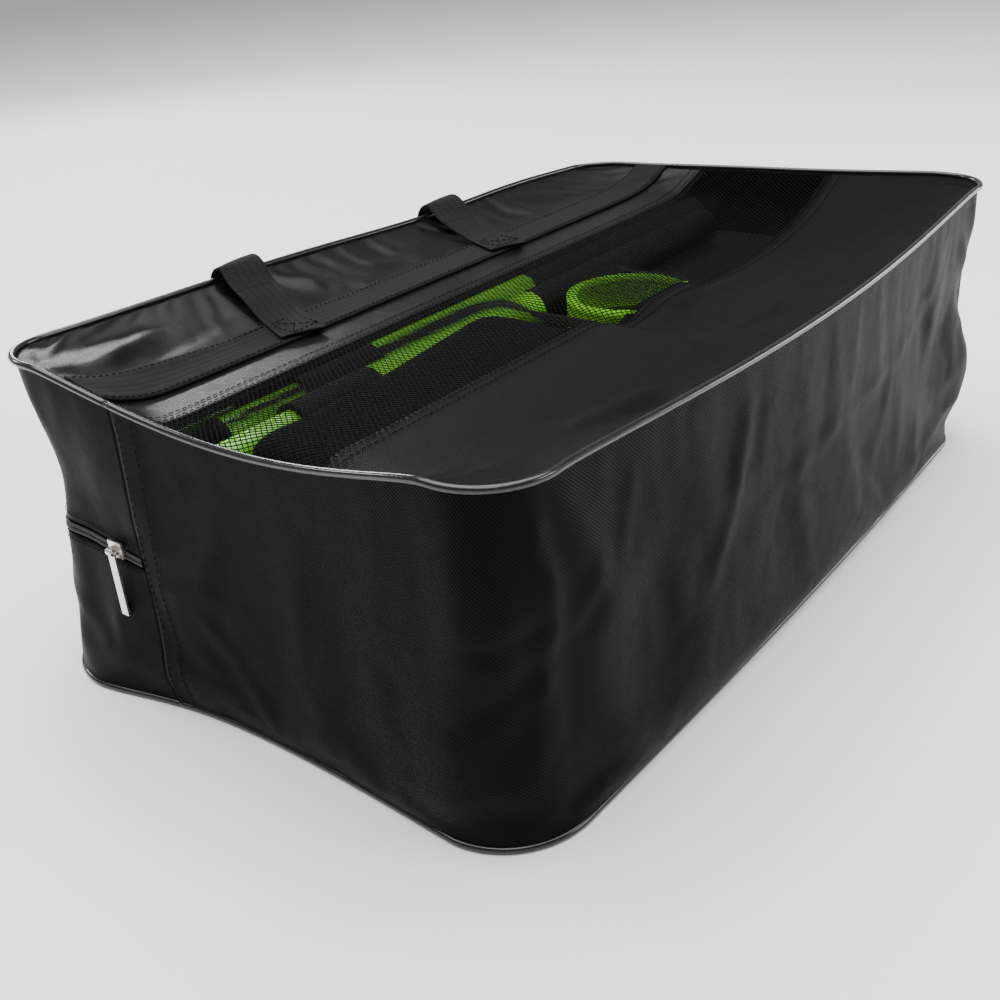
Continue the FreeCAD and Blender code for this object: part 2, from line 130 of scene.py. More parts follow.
class Finish:
    # A material in the making: node() lays a node, shade() closes it

    def __init__(self, name):
        self.material = bpy.data.materials.new(name)
        self.material.use_nodes = True
        self.tree = self.material.node_tree
        self.tree.nodes.clear()

    def node(self, kind, settings=None, inputs=()):
        made = self.tree.nodes.new(kind)
        for key, setting in (settings or {}).items():
            setattr(made, key, setting)
        pairs = inputs.items() if isinstance(inputs, dict) else enumerate(inputs)
        for key, given in pairs:
            if isinstance(given, Value):
                self.tree.links.new(given.output, made.inputs[key])
            else:
                made.inputs[key].default_value = given
        return [Value(self, output) for output in made.outputs if output.enabled]

    def along(self):
        # The piece's own map, in metres: along it, across it, and both as a vector
        place = self.node("ShaderNodeUVMap", {"uv_map": "cut"})[0]
        across = self.node("ShaderNodeSeparateXYZ", inputs=[place])
        return across[0], across[1], place

    def inSpace(self):
        return self.node("ShaderNodeTexCoord")[3]

    def noise(self, place, scale, detail=3.0, roughness=0.55):
        return self.node("ShaderNodeTexNoise", inputs={"Vector": place, "Scale": scale, "Detail": detail,
                                                       "Roughness": roughness})[0]

    def mix(self, share, first, second):
        return self.node("ShaderNodeMix", {"data_type": "RGBA"}, {0: share, 6: first, 7: second})[0]

    def bump(self, height, distance, strength, onto=None):
        inputs = {"Height": height, "Distance": distance, "Strength": strength}
        if onto is not None:
            inputs["Normal"] = onto
        return self.node("ShaderNodeBump", inputs=inputs)[0]

    def shade(self, **sockets):
        shader = self.node("ShaderNodeBsdfPrincipled",
                           inputs={key.replace("_", " "): given for key, given in sockets.items()})[0]
        self.node("ShaderNodeOutputMaterial", inputs=[shader])
        return self.material


def rgb(red, green, blue):
    return (red, green, blue, 1.0)


def grey(level, blue=None):
    # A grey of that level, or one whose blue differs a little
    return (level, level, level if blue is None else blue, 1.0)


def wovenCloth(name, pitch, dark, light, roughness, relief, specular=0.032):
    # Coated cloth: slanted twill ribs crossed by finer yarns, faint creases and scuffs, with a painted
    # highlight on the rib tops
    finish = Finish(name)
    along, across, place = finish.along()
    turn = 2 * math.pi / pitch
    rib = ((along + across) * turn).sine() * 0.5 + 0.5
    yarn = ((along * 0.97 - across) * (turn * 1.9)).sine() * 0.5 + 0.5
    weave = rib * 0.72 + yarn * 0.28
    patchy = finish.noise(place, 9.0, 4.0)
    scuff = finish.noise(place, 46.0, 5.0, 0.65).above(0.62, 0.10)
    crease = finish.noise(place, 24.0, 6.0, 0.6)
    # Painted highlight: the colour is lighter where the weave rises, on the tops of the twill ribs and yarns;
    # the scuffs are lighter wear
    colour = finish.mix(weave * 0.75 + scuff * 0.18, dark, light)
    normal = finish.bump(crease, 0.004, 0.10)
    normal = finish.bump(weave, 0.00022, relief, normal)
    dull = patchy * 0.16 + (roughness - 0.08) - rib * 0.05 + scuff * 0.10
    return finish.shade(Base_Color=colour, Roughness=dull, Normal=normal, Specular_IOR_Level=specular,
                        Sheen_Weight=0.01, Sheen_Roughness=0.4)


def webbingCloth(name, dark, light, pitch=0.0018, cords=0.0050):
    # Ribbed webbing: fine crosswise ribs in lengthwise cords, with a fuzzed surface and a painted highlight
    # on the rib tops
    finish = Finish(name)
    along, across, place = finish.along()
    rib = (along * (2 * math.pi / pitch)).sine() * 0.5 + 0.5
    cord = (across * (2 * math.pi / cords)).sine() * 0.5 + 0.5
    fuzz = finish.noise(place, 900.0, 2.0)
    weave = rib * 0.6 + cord.power(0.5) * 0.4
    # Painted highlight: the colour is lighter on the tops of the ribs and cords; the fuzz varies it at random
    colour = finish.mix(weave * 0.7 + fuzz * 0.3, dark, light)
    normal = finish.bump(weave, 0.00045, 0.9)
    normal = finish.bump(fuzz, 0.0002, 0.35, normal)
    return finish.shade(Base_Color=colour, Roughness=fuzz * 0.2 + 0.58, Normal=normal, Sheen_Weight=0.01,
                        Sheen_Roughness=0.5, Specular_IOR_Level=0.05)


def plastic(name, colour, worn, roughness, grain=0.0, grainScale=900.0, coat=0.0, specular=0.5):
    # Moulded or drawn plastic: fine grain, faint draw marks along X and rubbed patches
    finish = Finish(name)
    place = finish.inSpace()
    stretched = finish.node("ShaderNodeMapping", inputs={"Vector": place, "Scale": (2.0, 60.0, 60.0)})[0]
    draw = finish.noise(stretched, 9.0, 3.0)
    rub = finish.noise(place, 30.0, 5.0, 0.65).above(0.60, 0.12)
    fine = finish.noise(place, grainScale, 2.0)
    base = finish.mix(rub * 0.35 + draw * 0.15, colour, worn)
    normal = finish.bump(draw, 0.0004, 0.08)
    if grain:
        normal = finish.bump(fine, 0.0003, grain, normal)
    dull = draw * 0.08 + rub * 0.12 + (roughness - 0.05)
    return finish.shade(Base_Color=base, Roughness=dull, Normal=normal, Coat_Weight=coat, Coat_Roughness=0.08,
                        Specular_IOR_Level=specular)


def metal(name, colour, roughness):
    # Plated metal: fine scratches and slightly duller worn patches
    finish = Finish(name)
    place = finish.inSpace()
    stretched = finish.node("ShaderNodeMapping", inputs={"Vector": place, "Scale": (1.0, 14.0, 1.0)})[0]
    scratch = finish.noise(stretched, 700.0, 4.0, 0.7)
    worn = finish.noise(place, 160.0, 3.0).above(0.55, 0.15)
    tint = finish.mix(worn * 0.5, colour, rgb(*[part * 0.72 for part in colour[:3]]))
    normal = finish.bump(scratch, 0.0001, 0.25)
    dull = scratch * 0.14 + worn * 0.10 + (roughness - 0.07)
    return finish.shade(Base_Color=tint, Metallic=1.0, Roughness=dull, Normal=normal)


def glossyCord(name, colour, light, roughness, coat):
    # Vinyl piping and nylon: smooth, with a soft waviness and paler rubbed spots
    finish = Finish(name)
    place = finish.inSpace()
    wave = finish.noise(place, 60.0, 3.0)
    rub = finish.noise(place, 220.0, 4.0).above(0.62, 0.10)
    normal = finish.bump(wave, 0.002, 0.12)
    base = finish.mix(rub * 0.6, colour, light)
    return finish.shade(Base_Color=base, Roughness=wave * 0.1 + (roughness - 0.05), Normal=normal,
                        Coat_Weight=coat, Coat_Roughness=0.12)


def paleFloor(name):
    # A pale matt floor, very faintly mottled
    finish = Finish(name)
    place = finish.inSpace()
    mottle = finish.noise(place, 3.0, 3.0)
    return finish.shade(Base_Color=finish.mix(mottle, grey(0.90), grey(0.94)), Roughness=0.85)


black = grey(0.0014, 0.0015)
# blackLit: black with a painted highlight, laid on the cloth's twill ridges, and on its scuffs as paler wear
blackLit = rgb(0.0055, 0.0054, 0.0056)
lime = rgb(0.150, 0.520, 0.008)
# A paler lime: on the poles it marks rubbed wear and draw marks, on the spacing tape it is a painted
# highlight on the rib and cord tops
limeWornAndSheen = rgb(0.240, 0.620, 0.030)
# In the woven and webbing finishes the second colour is a painted highlight on the rib tops, also taken by
# scuffs or random fuzz
finishes = {
    "cloth": wovenCloth("bagCloth", 0.0022, black, blackLit, 0.44, 0.85),
    "satin": wovenCloth("bagClothSmooth", 0.0014, black, grey(0.0050, 0.0054), 0.30, 0.25, specular=0.09),
    "webbing": webbingCloth("bagWebbing", grey(0.003, 0.0031), grey(0.014, 0.0144)),
    "tape": webbingCloth("zipTape", black, grey(0.008), 0.0010, 0.0024),
    "thread": webbingCloth("sewingThread", grey(0.0012), grey(0.005), 0.0009, 0.0012),
    "netting": webbingCloth("meshThread", grey(0.002), grey(0.007), 0.0012, 0.0010),
    "piping": glossyCord("pipingVinyl", grey(0.004, 0.0042), grey(0.02), 0.20, 0.10),
    "coil": glossyCord("zipCoil", grey(0.004), grey(0.015), 0.32, 0.05),
    "nickel": metal("nickelPlate", rgb(0.80, 0.76, 0.71), 0.24),
    "lime": plastic("limePole", lime, limeWornAndSheen, 0.20, coat=0.45),
    "rubber": plastic("blackRubber", grey(0.004), grey(0.012), 0.55, 0.35, 700.0, specular=0.15),
    "base": plastic("basePlastic", grey(0.006, 0.0064), grey(0.015), 0.50, 0.5, 1100.0, specular=0.2),
    "steel": metal("zincSteel", rgb(0.62, 0.63, 0.65), 0.34),
    "pouch": wovenCloth("pouchCloth", 0.0016, grey(0.003, 0.0032), grey(0.010, 0.0105), 0.60, 0.7),
    "limeTape": webbingCloth("limeTape", lime, limeWornAndSheen, 0.0016, 0.0060),
    "floor": paleFloor("paleFloor"),
}
print("finishes made")


def gridFaces(rows, columns, closed):
    # Faces that join neighbours in a grid, and its last column to its first where it is closed
    index = np.arange(rows * columns).reshape(rows, columns)
    after = np.roll(index, -1, axis=1) if closed else index[:, 1:]
    index = index if closed else index[:, :-1]
    return np.stack([index[:-1], after[:-1], after[1:], index[1:]], axis=-1).reshape(-1, 4)


def cutMap(along, across):
    # A piece's own map, in metres, from a value for each column and one for each row
    return np.stack(np.meshgrid(along, across), axis=-1)


def sheetPiece(name, points, cut, finish, thickness=0.0, closed=False, flip=False, inward=True):
    # A piece from a grid of points (rows, columns, 3), with its map
    faces = gridFaces(*points.shape[:2], closed)
    if flip:
        faces = faces[:, ::-1]
    cutRows = cut.reshape(-1, 2)[faces.reshape(-1)]
    return meshPiece(name, points.reshape(-1, 3), faces, cutRows, finish, thickness, inward)


def meshPiece(name, points, faces, cut, finish, thickness=0.0, inward=True):
    # A smooth piece from points and faces; a thickness grows inwards or outwards from it
    mesh = bpy.data.meshes.new(name)
    mesh.vertices.add(len(points))
    mesh.vertices.foreach_set("co", np.asarray(points, dtype=np.float32).ravel())
    mesh.loops.add(faces.size)
    mesh.loops.foreach_set("vertex_index", faces.ravel().astype(np.int32))
    mesh.polygons.add(len(faces))
    mesh.polygons.foreach_set("loop_start", np.arange(0, faces.size, faces.shape[1], dtype=np.int32))
    layer = mesh.uv_layers.new(name="cut")
    layer.data.foreach_set("uv", np.asarray(cut, dtype=np.float32).ravel())
    mesh.polygons.foreach_set("use_smooth", np.full(len(faces), True))
    mesh.update(calc_edges=True)
    mesh.validate()
    mesh.materials.append(finishes[finish])
    piece = bpy.data.objects.new(name, mesh)
    bpy.context.scene.collection.objects.link(piece)
    if thickness:
        wall = piece.modifiers.new("wall", "SOLIDIFY")
        wall.thickness = thickness
        wall.offset = -1.0 if inward else 1.0
        wall.use_even_offset = False
    return piece


def direction(vectors):
    # Each vector over its own length
    return vectors / np.maximum(np.linalg.norm(vectors, axis=-1, keepdims=True), 1e-12)


def runAlong(path):
    # How far along the path each of its points lies
    return np.concatenate([[0], np.cumsum(np.linalg.norm(np.diff(path, axis=0), axis=1))])


def catmull(values, place):
    # Values along axis 0 at fractional places, on the Catmull-Rom curve through them
    last = len(values) - 1
    low = np.clip(np.floor(place).astype(int), 0, last - 1)
    share = (place - low).reshape((-1,) + (1,) * (values.ndim - 1))
    a, b, c, d = (values[np.clip(low + shift, 0, last)] for shift in (-1, 0, 1, 2))
    return 0.5 * (2 * b + (c - a) * share + (2 * a - 5 * b + 4 * c - d) * share ** 2
                  + (3 * b - a - 3 * c + d) * share ** 3)


def regrid(grid, rowPlaces, columnPlaces):
    # The grid read again at those rows and columns
    across = catmull(grid, np.asarray(rowPlaces, float))
    return catmull(across.swapaxes(0, 1), np.asarray(columnPlaces, float)).swapaxes(0, 1)


def samplePath(grid, rowPlace, columnPlace):
    # Points of the grid at pairs of row and column places, straight between its points
    rows, columns = grid.shape[:2]
    r = np.clip(rowPlace, 0, rows - 1.001)
    c = np.clip(columnPlace, 0, columns - 1.001)
    i = r.astype(int)
    j = c.astype(int)
    u = (r - i)[:, None]
    v = (c - j)[:, None]
    return (grid[i, j] * (1 - u) * (1 - v) + grid[i + 1, j] * u * (1 - v)
            + grid[i, j + 1] * (1 - u) * v + grid[i + 1, j + 1] * u * v)


def cordPiece(name, path, radius, finish, sides):
    # A round cord: circles of that radius (one, or one for each point) carried along the path
    tangent = direction(np.gradient(path, axis=0))
    side = direction(np.cross(tangent, np.broadcast_to((0.0, 0.0, 1.0), path.shape)))
    top = direction(np.cross(side, tangent))
    angle = np.linspace(0, 2 * np.pi, sides, endpoint=False)
    reach = np.broadcast_to(np.asarray(radius, float), (len(path),))[:, None, None]
    ring = side[:, None] * np.cos(angle)[None, :, None] + top[:, None] * np.sin(angle)[None, :, None]
    first = np.repeat(path[:1, None], sides, axis=1)
    last = np.repeat(path[-1:, None], sides, axis=1)
    points = np.concatenate([first, path[:, None] + ring * reach, last])
    run = runAlong(points.mean(1))
    cut = np.stack(np.broadcast_arrays(run[:, None], (angle * float(np.mean(radius)))[None]), axis=-1)
    piece = sheetPiece(name, points, cut, finish, closed=True, flip=True)
    mergeDoubles(piece)
    return piece


def mergeDoubles(piece, distance=1e-6):
    # Points nearer than the distance become one
    mesh = bmesh.new()
    mesh.from_mesh(piece.data)
    bmesh.ops.remove_doubles(mesh, verts=mesh.verts, dist=distance)
    mesh.to_mesh(piece.data)
    mesh.free()


def ribbonPiece(name, path, side, halfBreadth, thickness, finish, crown):
    # Webbing: a cross-section of that breadth, a little crowned, carried along the path
    tangent = direction(np.gradient(path, axis=0))
    side = direction(side - tangent * np.sum(side * tangent, axis=1, keepdims=True))
    top = np.cross(side, tangent)
    top = top if top[len(top) // 2, 2] >= 0 else top
    across = np.linspace(-1, 1, 9)
    lift = crown * (1 - across ** 2)
    points = path[:, None] + side[:, None] * (across * halfBreadth)[:, None] + top[:, None] * lift[:, None]
    run = runAlong(path)
    cut = np.stack(np.broadcast_arrays(run[:, None], (across * halfBreadth)[None]), axis=-1)
    piece = sheetPiece(name, points, cut, finish, thickness, inward=False)
    bevel = piece.modifiers.new("edge", "BEVEL")
    bevel.width = thickness * 0.3
    bevel.segments = 2
    bevel.limit_method = "ANGLE"
    return piece


def tubeFaces(count, rings, sides):
    # The faces of many tubes at once, each of rings of points joined to the next ring
    index = np.arange(count * rings * sides).reshape(count, rings, sides)
    after = np.roll(index, -1, axis=2)
    return np.stack([index[:, :-1], after[:, :-1], after[:, 1:], index[:, 1:]], axis=-1).reshape(-1, 4)


stitches = {"length": 0.0032, "gap": 0.0012, "radius": 0.00030}


def stitchPiece(name, runs):
    # Rows of stitches, each run a (points, outward directions) pair. A stitch is a short spindle whose
    # breadth and height over the cloth rise and fall along it, so that both ends dip into the cloth
    stitch, gap, radius = stitches["length"], stitches["gap"], stitches["radius"]
    spindles = []
    for path, outward in runs:
        length = runAlong(path)
        starts = np.arange(gap, length[-1] - stitch, stitch + gap)
        if not len(starts):
            continue
        along = np.array([0.0, 0.18, 0.5, 0.82, 1.0])
        lift = np.array([-0.8, 0.5, 0.8, 0.5, -0.8]) * radius
        breadth = np.array([0.35, 0.9, 1.0, 0.9, 0.35]) * radius
        where = starts[:, None] + along[None] * stitch
        points, out = (np.stack([np.interp(where, length, of[:, axis]) for axis in range(3)], axis=-1)
                       for of in (path, outward))
        out = direction(out)
        tangent = direction(points[:, -1:] - points[:, :1])
        side = direction(np.cross(tangent, out))
        angle = np.linspace(0, 2 * np.pi, 5, endpoint=False)
        ring = side[:, :, None] * np.cos(angle)[:, None] + out[:, :, None] * np.sin(angle)[:, None]
        spindles.append(points[:, :, None] + out[:, :, None] * lift[None, :, None, None]
                        + ring * breadth[None, :, None, None])
    points = np.concatenate(spindles)
    count, rings, sides = points.shape[:3]
    faces = tubeFaces(count, rings, sides)
    cut = np.stack([np.tile(np.repeat(np.linspace(0, stitch, rings), sides), count),
                    np.tile(np.arange(sides) * radius, count * rings)], axis=-1)[faces.reshape(-1)]
    return meshPiece(name, points.reshape(-1, 3), faces[:, ::-1], cut, "thread")


# The runs round the bag: half an end, then corners and sides in turn, and the other half of that end
quarter = bag["cornerRadius"] * np.pi / 2
shortRun = 2 * (halfWidth - bag["cornerRadius"])
longRun = 2 * (halfLength - bag["cornerRadius"])
runs = [shortRun / 2, quarter, longRun, quarter, shortRun, quarter, longRun, quarter, shortRun / 2]
marks = np.concatenate([[0], np.cumsum(runs)])
aroundBag = marks[-1]
seamFar = marks[4] + seamY + shortRun / 2
seamNear = aroundBag - seamY


def outline(distance, radius):
    # Places and outward directions round the bag: straight sides, and quarter circles of that radius.
    # The distance is counted from the middle of the slider end (-X), past the plain long side
    distance = np.mod(distance, aroundBag)
    leg = np.clip(np.searchsorted(marks, distance, side="right") - 1, 0, 8)
    share = (distance - marks[leg]) / np.array(runs)[leg]
    x = halfLength - radius
    y = halfWidth - radius
    starts = [(-halfLength, 0), None, (-x, -halfWidth), None, (halfLength, -y), None, (x, halfWidth), None,
              (-halfLength, y)]
    ends = [(-halfLength, -y), None, (x, -halfWidth), None, (halfLength, y), None, (-x, halfWidth), None,
            (-halfLength, 0)]
    facing = [(-1, 0), None, (0, -1), None, (1, 0), None, (0, 1), None, (-1, 0)]
    hubs = {1: (-x, -y, np.pi), 3: (x, -y, 1.5 * np.pi), 5: (x, y, 0.0), 7: (-x, y, 0.5 * np.pi)}
    place = np.zeros((len(distance), 2))
    outward = np.zeros((len(distance), 2))
    for number in range(9):
        chosen = leg == number
        part = share[chosen][:, None]
        if number in hubs:
            hubX, hubY, first = hubs[number]
            angle = first + part * np.pi / 2
            outward[chosen] = np.hstack([np.cos(angle), np.sin(angle)])
            place[chosen] = np.array([hubX, hubY]) + outward[chosen] * radius
        else:
            place[chosen] = np.array(starts[number]) * (1 - part) + np.array(ends[number]) * part
            outward[chosen] = facing[number]
    return place, outward


def alongSide(place, outward, side):
    # How far along a side each place is, from -1 to 1 (beyond which it is off that side)
    facing = {"west": (-1, 0), "south": (0, -1), "east": (1, 0), "north": (0, 1)}[side]
    on = outward @ np.array(facing) > 0.999
    run = place[:, 1] / (shortRun / 2) if facing[0] else place[:, 0] / (longRun / 2)
    return np.where(on, run, 2.0)


def bulge(place, outward, amounts):
    # amounts[side] times (1 - t^2)^1.3 along each side
    total = np.zeros(len(place))
    for side, amount in amounts.items():
        t = alongSide(place, outward, side)
        total += amount * np.clip(1 - t ** 2, 0, None) ** 1.3
    return total


def rim(distance, level):
    # The top (1) or bottom (0) edge of the bag at those distances
    name = "top" if level else "bottom"
    place, outward = outline(distance, bag[name + "Radius"])
    stand = bulge(place, outward, bag[name + "Stand"])
    low = np.full(len(place), bag["bottomEdge"])
    height = bagHeight - bulge(place, outward, bag["topSag"]) if level else low
    for centre, breadth, out, rise in bag[name + "Bends"]:
        near = np.exp(-(roundGap(distance, centre) / breadth) ** 2)
        stand = stand + out * near
        height = height + rise * near
    return np.column_stack([place + outward * stand[:, None], height]), outward


def roundGap(distance, centre):
    # How far round the bag each distance lies from a centre, the shorter way
    return np.mod(distance - centre + aroundBag / 2, aroundBag) - aroundBag / 2


# Soft dents and swells of the walls: (distance round the bag, height share, size along, size up, how far out)
wallSwells = [
    (1.790, 0.52, 0.050, 0.30, 0.010),
    (1.690, 0.58, 0.060, 0.30, -0.020),
    (0.060, 0.42, 0.080, 0.30, -0.007),
    (0.110, 0.22, 0.050, 0.20, 0.006),
    (0.165, 0.74, 0.030, 0.20, 0.004),
    (0.190, 0.42, 0.028, 0.26, -0.007),
    (0.230, 0.66, 0.034, 0.18, 0.007),
    (0.275, 0.40, 0.040, 0.20, -0.009),
    (0.330, 0.62, 0.050, 0.16, 0.006),
    (0.400, 0.36, 0.060, 0.22, -0.006),
    (0.470, 0.64, 0.070, 0.20, 0.005),
    (0.560, 0.40, 0.060, 0.24, 0.006),
    (0.640, 0.70, 0.045, 0.16, -0.009),
    (0.690, 0.34, 0.040, 0.22, 0.007),
    (0.750, 0.62, 0.036, 0.17, -0.016),
    (0.755, 0.30, 0.050, 0.18, 0.007),
    (0.920, 0.40, 0.100, 0.30, 0.007),
    (1.100, 0.55, 0.050, 0.24, -0.006),
    (1.260, 0.60, 0.080, 0.22, -0.007),
    (1.420, 0.35, 0.070, 0.24, 0.006),
    (1.560, 0.62, 0.060, 0.20, -0.006),
]

# Creases: (distance and height share where each starts, the same where it ends, half breadth, depth)
wallCreases = [
    (0.365, 0.89, 0.339, 0.62, 0.008, 0.0075),
    (0.339, 0.62, 0.317, 0.37, 0.008, 0.0069),
    (0.642, 0.75, 0.565, 0.64, 0.006, 0.0060),
    (0.565, 0.64, 0.479, 0.61, 0.006, 0.0063),
    (0.479, 0.61, 0.375, 0.54, 0.007, 0.0066),
    (0.261, 0.92, 0.242, 0.68, 0.006, 0.0051),
    (0.259, 0.63, 0.273, 0.43, 0.005, 0.0045),
    (0.226, 0.72, 0.200, 0.58, 0.006, 0.0060),
    (0.519, 0.32, 0.571, 0.08, 0.005, 0.0051),
    (0.739, 0.21, 0.597, 0.12, 0.007, 0.0045),
    (0.194, 0.70, 0.180, 0.22, 0.007, 0.0105),
    (0.186, 0.91, 0.194, 0.70, 0.006, 0.0078),
    (0.700, 0.86, 0.745, 0.58, 0.007, 0.0066),
    (0.660, 0.62, 0.735, 0.50, 0.006, 0.0060),
    (-0.018, 0.49, -0.019, 0.33, 0.004, 0.0036),
    (-0.043, 0.42, 0.009, 0.07, 0.006, 0.0054),
    (0.097, 0.54, 0.121, 0.42, 0.004, 0.0045),
    (0.049, 0.90, 0.060, 0.83, 0.004, 0.0027),
    (0.144, 0.58, 0.190, 0.64, 0.005, -0.0045),
    (0.125, 0.31, 0.190, 0.55, 0.006, -0.0048),
    (-0.075, 0.45, -0.018, 0.49, 0.005, 0.0030),
    (0.850, 0.30, 0.950, 0.62, 0.007, 0.0048),
    (0.980, 0.70, 1.050, 0.46, 0.006, 0.0045),
    (1.180, 0.72, 1.300, 0.58, 0.007, 0.0045),
    (1.500, 0.34, 1.600, 0.24, 0.007, 0.0039),
    (1.680, 0.30, 1.730, 0.14, 0.006, 0.0045),
]


def swell(distance, level):
    # How far the wall stands out: each swell is exp(-u^2 - v^2), fading to the rims, and each crease is
    # a sharp ridge exp(-|u|) with a shallow furrow 0.55 exp(-(u / 2.4)^2) beside it, fading at its ends
    total = np.zeros((len(level), len(distance)))
    for centre, height, breadth, tall, amount in wallSwells:
        wide = np.exp(-(roundGap(distance, centre) / breadth) ** 2)
        total += amount * np.exp(-((level - height) / tall) ** 2)[:, None] * wide[None]
    total *= (4 * level * (1 - level))[:, None] ** 0.6
    up = level[:, None] * bagHeight
    for startAt, startUp, endAt, endUp, breadth, depth in wallCreases:
        along = roundGap(distance, startAt)[None]
        rise = up - startUp * bagHeight
        run = np.array([endAt - startAt, (endUp - startUp) * bagHeight])
        length = np.hypot(*run)
        share = (along * run[0] + rise * run[1]) / length ** 2
        off = (along * run[1] - rise * run[0]) / length
        ends = np.clip(np.minimum(share, 1 - share) * 4 + 0.35, 0, 1)
        ridge = np.exp(-np.abs(off) / breadth) - 0.55 * np.exp(-(off / breadth / 2.4) ** 2)
        total += depth * ends ** 1.5 * ridge
    return total


columns = int(round(aroundBag / bag["step"]))
columnDistance = np.arange(columns) * aroundBag / columns
wallLevels = np.linspace(0, 1, bag["rows"])
topEdge, wallOut = rim(columnDistance, 1)
bottomEdge, _ = rim(columnDistance, 0)
walls = bottomEdge[None] * (1 - wallLevels)[:, None, None] + topEdge[None] * wallLevels[:, None, None]
stand = swell(columnDistance, wallLevels) + bag["wallBelly"] * np.sin(np.pi * wallLevels)[:, None]
walls[:, :, :2] += stand[:, :, None] * wallOut[None]


settling = {"frames": 24, "jitter": 0.00025}
clothSettings = {
    "quality": 6,
    "mass": 0.25,
    "tension_stiffness": 40,
    "compression_stiffness": 40,
    "shear_stiffness": 20,
    "bending_stiffness": 0.6,
    "air_damping": 4.0,
    "pin_stiffness": 1.0,
}


def settle(points, closed, pinned, growth, gravity, cap, seed):
    # Cloth simulation of a grid whose pinned points stay and whose cloth is a little too large
    faces = gridFaces(*points.shape[:2], closed)
    random = np.random.default_rng(seed)
    jitter = random.normal(0, settling["jitter"], points.shape) * (1 - pinned)[..., None]
    mesh = bpy.data.meshes.new("settling")
    mesh.from_pydata((points + jitter).reshape(-1, 3).tolist(), [], faces.tolist())
    piece = bpy.data.objects.new("settling", mesh)
    bpy.context.scene.collection.objects.link(piece)
    held = piece.vertex_groups.new(name="held")
    flat = pinned.reshape(-1)
    for weight in np.unique(flat[flat > 0]):
        held.add(np.flatnonzero(flat == weight).tolist(), float(weight), "REPLACE")
    cloth = piece.modifiers.new("cloth", "CLOTH")
    for key, setting in clothSettings.items():
        setattr(cloth.settings, key, setting)
    cloth.settings.shrink_min = -growth
    cloth.settings.vertex_group_mass = "held"
    cloth.settings.effector_weights.gravity = gravity
    cloth.collision_settings.use_collision = False
    cloth.collision_settings.use_self_collision = False
    cloth.point_cache.frame_end = settling["frames"]
    for step in range(1, settling["frames"] + 1):
        bpy.context.scene.frame_set(step)
    evaluated = piece.evaluated_get(bpy.context.evaluated_depsgraph_get())
    settled = np.empty(points.size, dtype=np.float32)
    evaluated.data.vertices.foreach_get("co", settled)
    settled = settled.reshape(points.shape).astype(float)
    bpy.data.objects.remove(piece)
    bpy.context.scene.frame_set(1)
    move = settled - points
    length = np.linalg.norm(move, axis=-1, keepdims=True)
    limit = cap * np.tanh(length / cap) / np.maximum(length, 1e-9)
    return points + move * limit * (1 - np.clip(pinned, 0, 1))[..., None]


def softened(grid, closed, times):
    # Each inner point moved half way to the mean of its neighbours, a few times
    for _ in range(times):
        beside = np.roll(grid, 1, axis=1) + np.roll(grid, -1, axis=1)
        if not closed:
            beside[:, 0] = beside[:, -1] = 0
        inner = (grid[:-2] + grid[2:] + beside[1:-1]) / 4
        if closed:
            grid[1:-1] = grid[1:-1] * 0.5 + inner * 0.5
        else:
            grid[1:-1, 1:-1] = grid[1:-1, 1:-1] * 0.5 + inner[:, 1:-1] * 0.5
    return grid


pins = np.zeros(walls.shape[:2])
pins[[0, -1]] = 1.0
walls = settle(walls, True, pins, bag["wallGrowth"], 0.4, bag["wallCap"], 3)
walls = softened(walls, True, 2)

# Below the top of the bases the wall stays outside their rounded outline: its distance from it is kept
# where it is over "soft", and below that eases towards "least" as least + (soft - least) exp(...)
block = {"radius": 0.020, "least": 0.0012, "soft": 0.0025, "above": 0.016, "fade": 0.014}
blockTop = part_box("base_4")[1].z
blockHalf = np.array([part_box("base_3")[1].x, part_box("base_3")[1].y])
corner = np.maximum(np.abs(walls[..., :2]) - (blockHalf - block["radius"]), 0)
clear = np.linalg.norm(corner, axis=-1) - block["radius"]
band = block["soft"] - block["least"]
eased = block["least"] + band * np.exp((np.minimum(clear, block["soft"]) - block["soft"]) / band)
wanted = np.where(clear > block["soft"], clear, eased)
below = np.clip((blockTop + block["above"] - walls[..., 2]) / block["fade"], 0, 1)
push = (wanted - clear) * below
walls[..., :2] += np.sign(walls[..., :2]) * direction(corner) * push[..., None]

# The wall is drawn to the zip where the slider sits on it
sliderLow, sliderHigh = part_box("zip_slider")
drawn = {"travel": 0.030, "margin": 0.008, "along": 0.028, "up": 0.030, "gap": 0.0004}
travelMiddle = aroundBag - (sliderLow.y + sliderHigh.y + drawn["travel"]) / 2
beyond = np.abs(roundGap(columnDistance, travelMiddle)) - drawn["travel"] / 2 - drawn["margin"]
nearAlong = np.exp(-(np.maximum(beyond, 0) / drawn["along"]) ** 2)
nearUp = np.exp(-((wallLevels * bagHeight - zipZ) / drawn["up"]) ** 2)
nearSlider = nearAlong[None] * nearUp[:, None]
sliderRow = int(round(zipZ / bagHeight * (bag["rows"] - 1)))
walls[..., 0] += nearSlider * (-halfLength + drawn["gap"] - walls[sliderRow, :, 0])[None]
print("walls settled")


# The top: rows of constant y whose ends lie on the rim
cornerSteps = np.arange(1, 9) / 8
cornerRows = (halfWidth - bag["topRadius"]) + bag["topRadius"] * np.sin(cornerSteps * np.pi / 2)
straightRows = np.linspace(0, halfWidth - bag["topRadius"], 35)
halfRows = np.concatenate([straightRows, cornerRows])
topRows = np.concatenate([-halfRows[:0:-1], halfRows])
topColumns = np.linspace(-1, 1, 141)


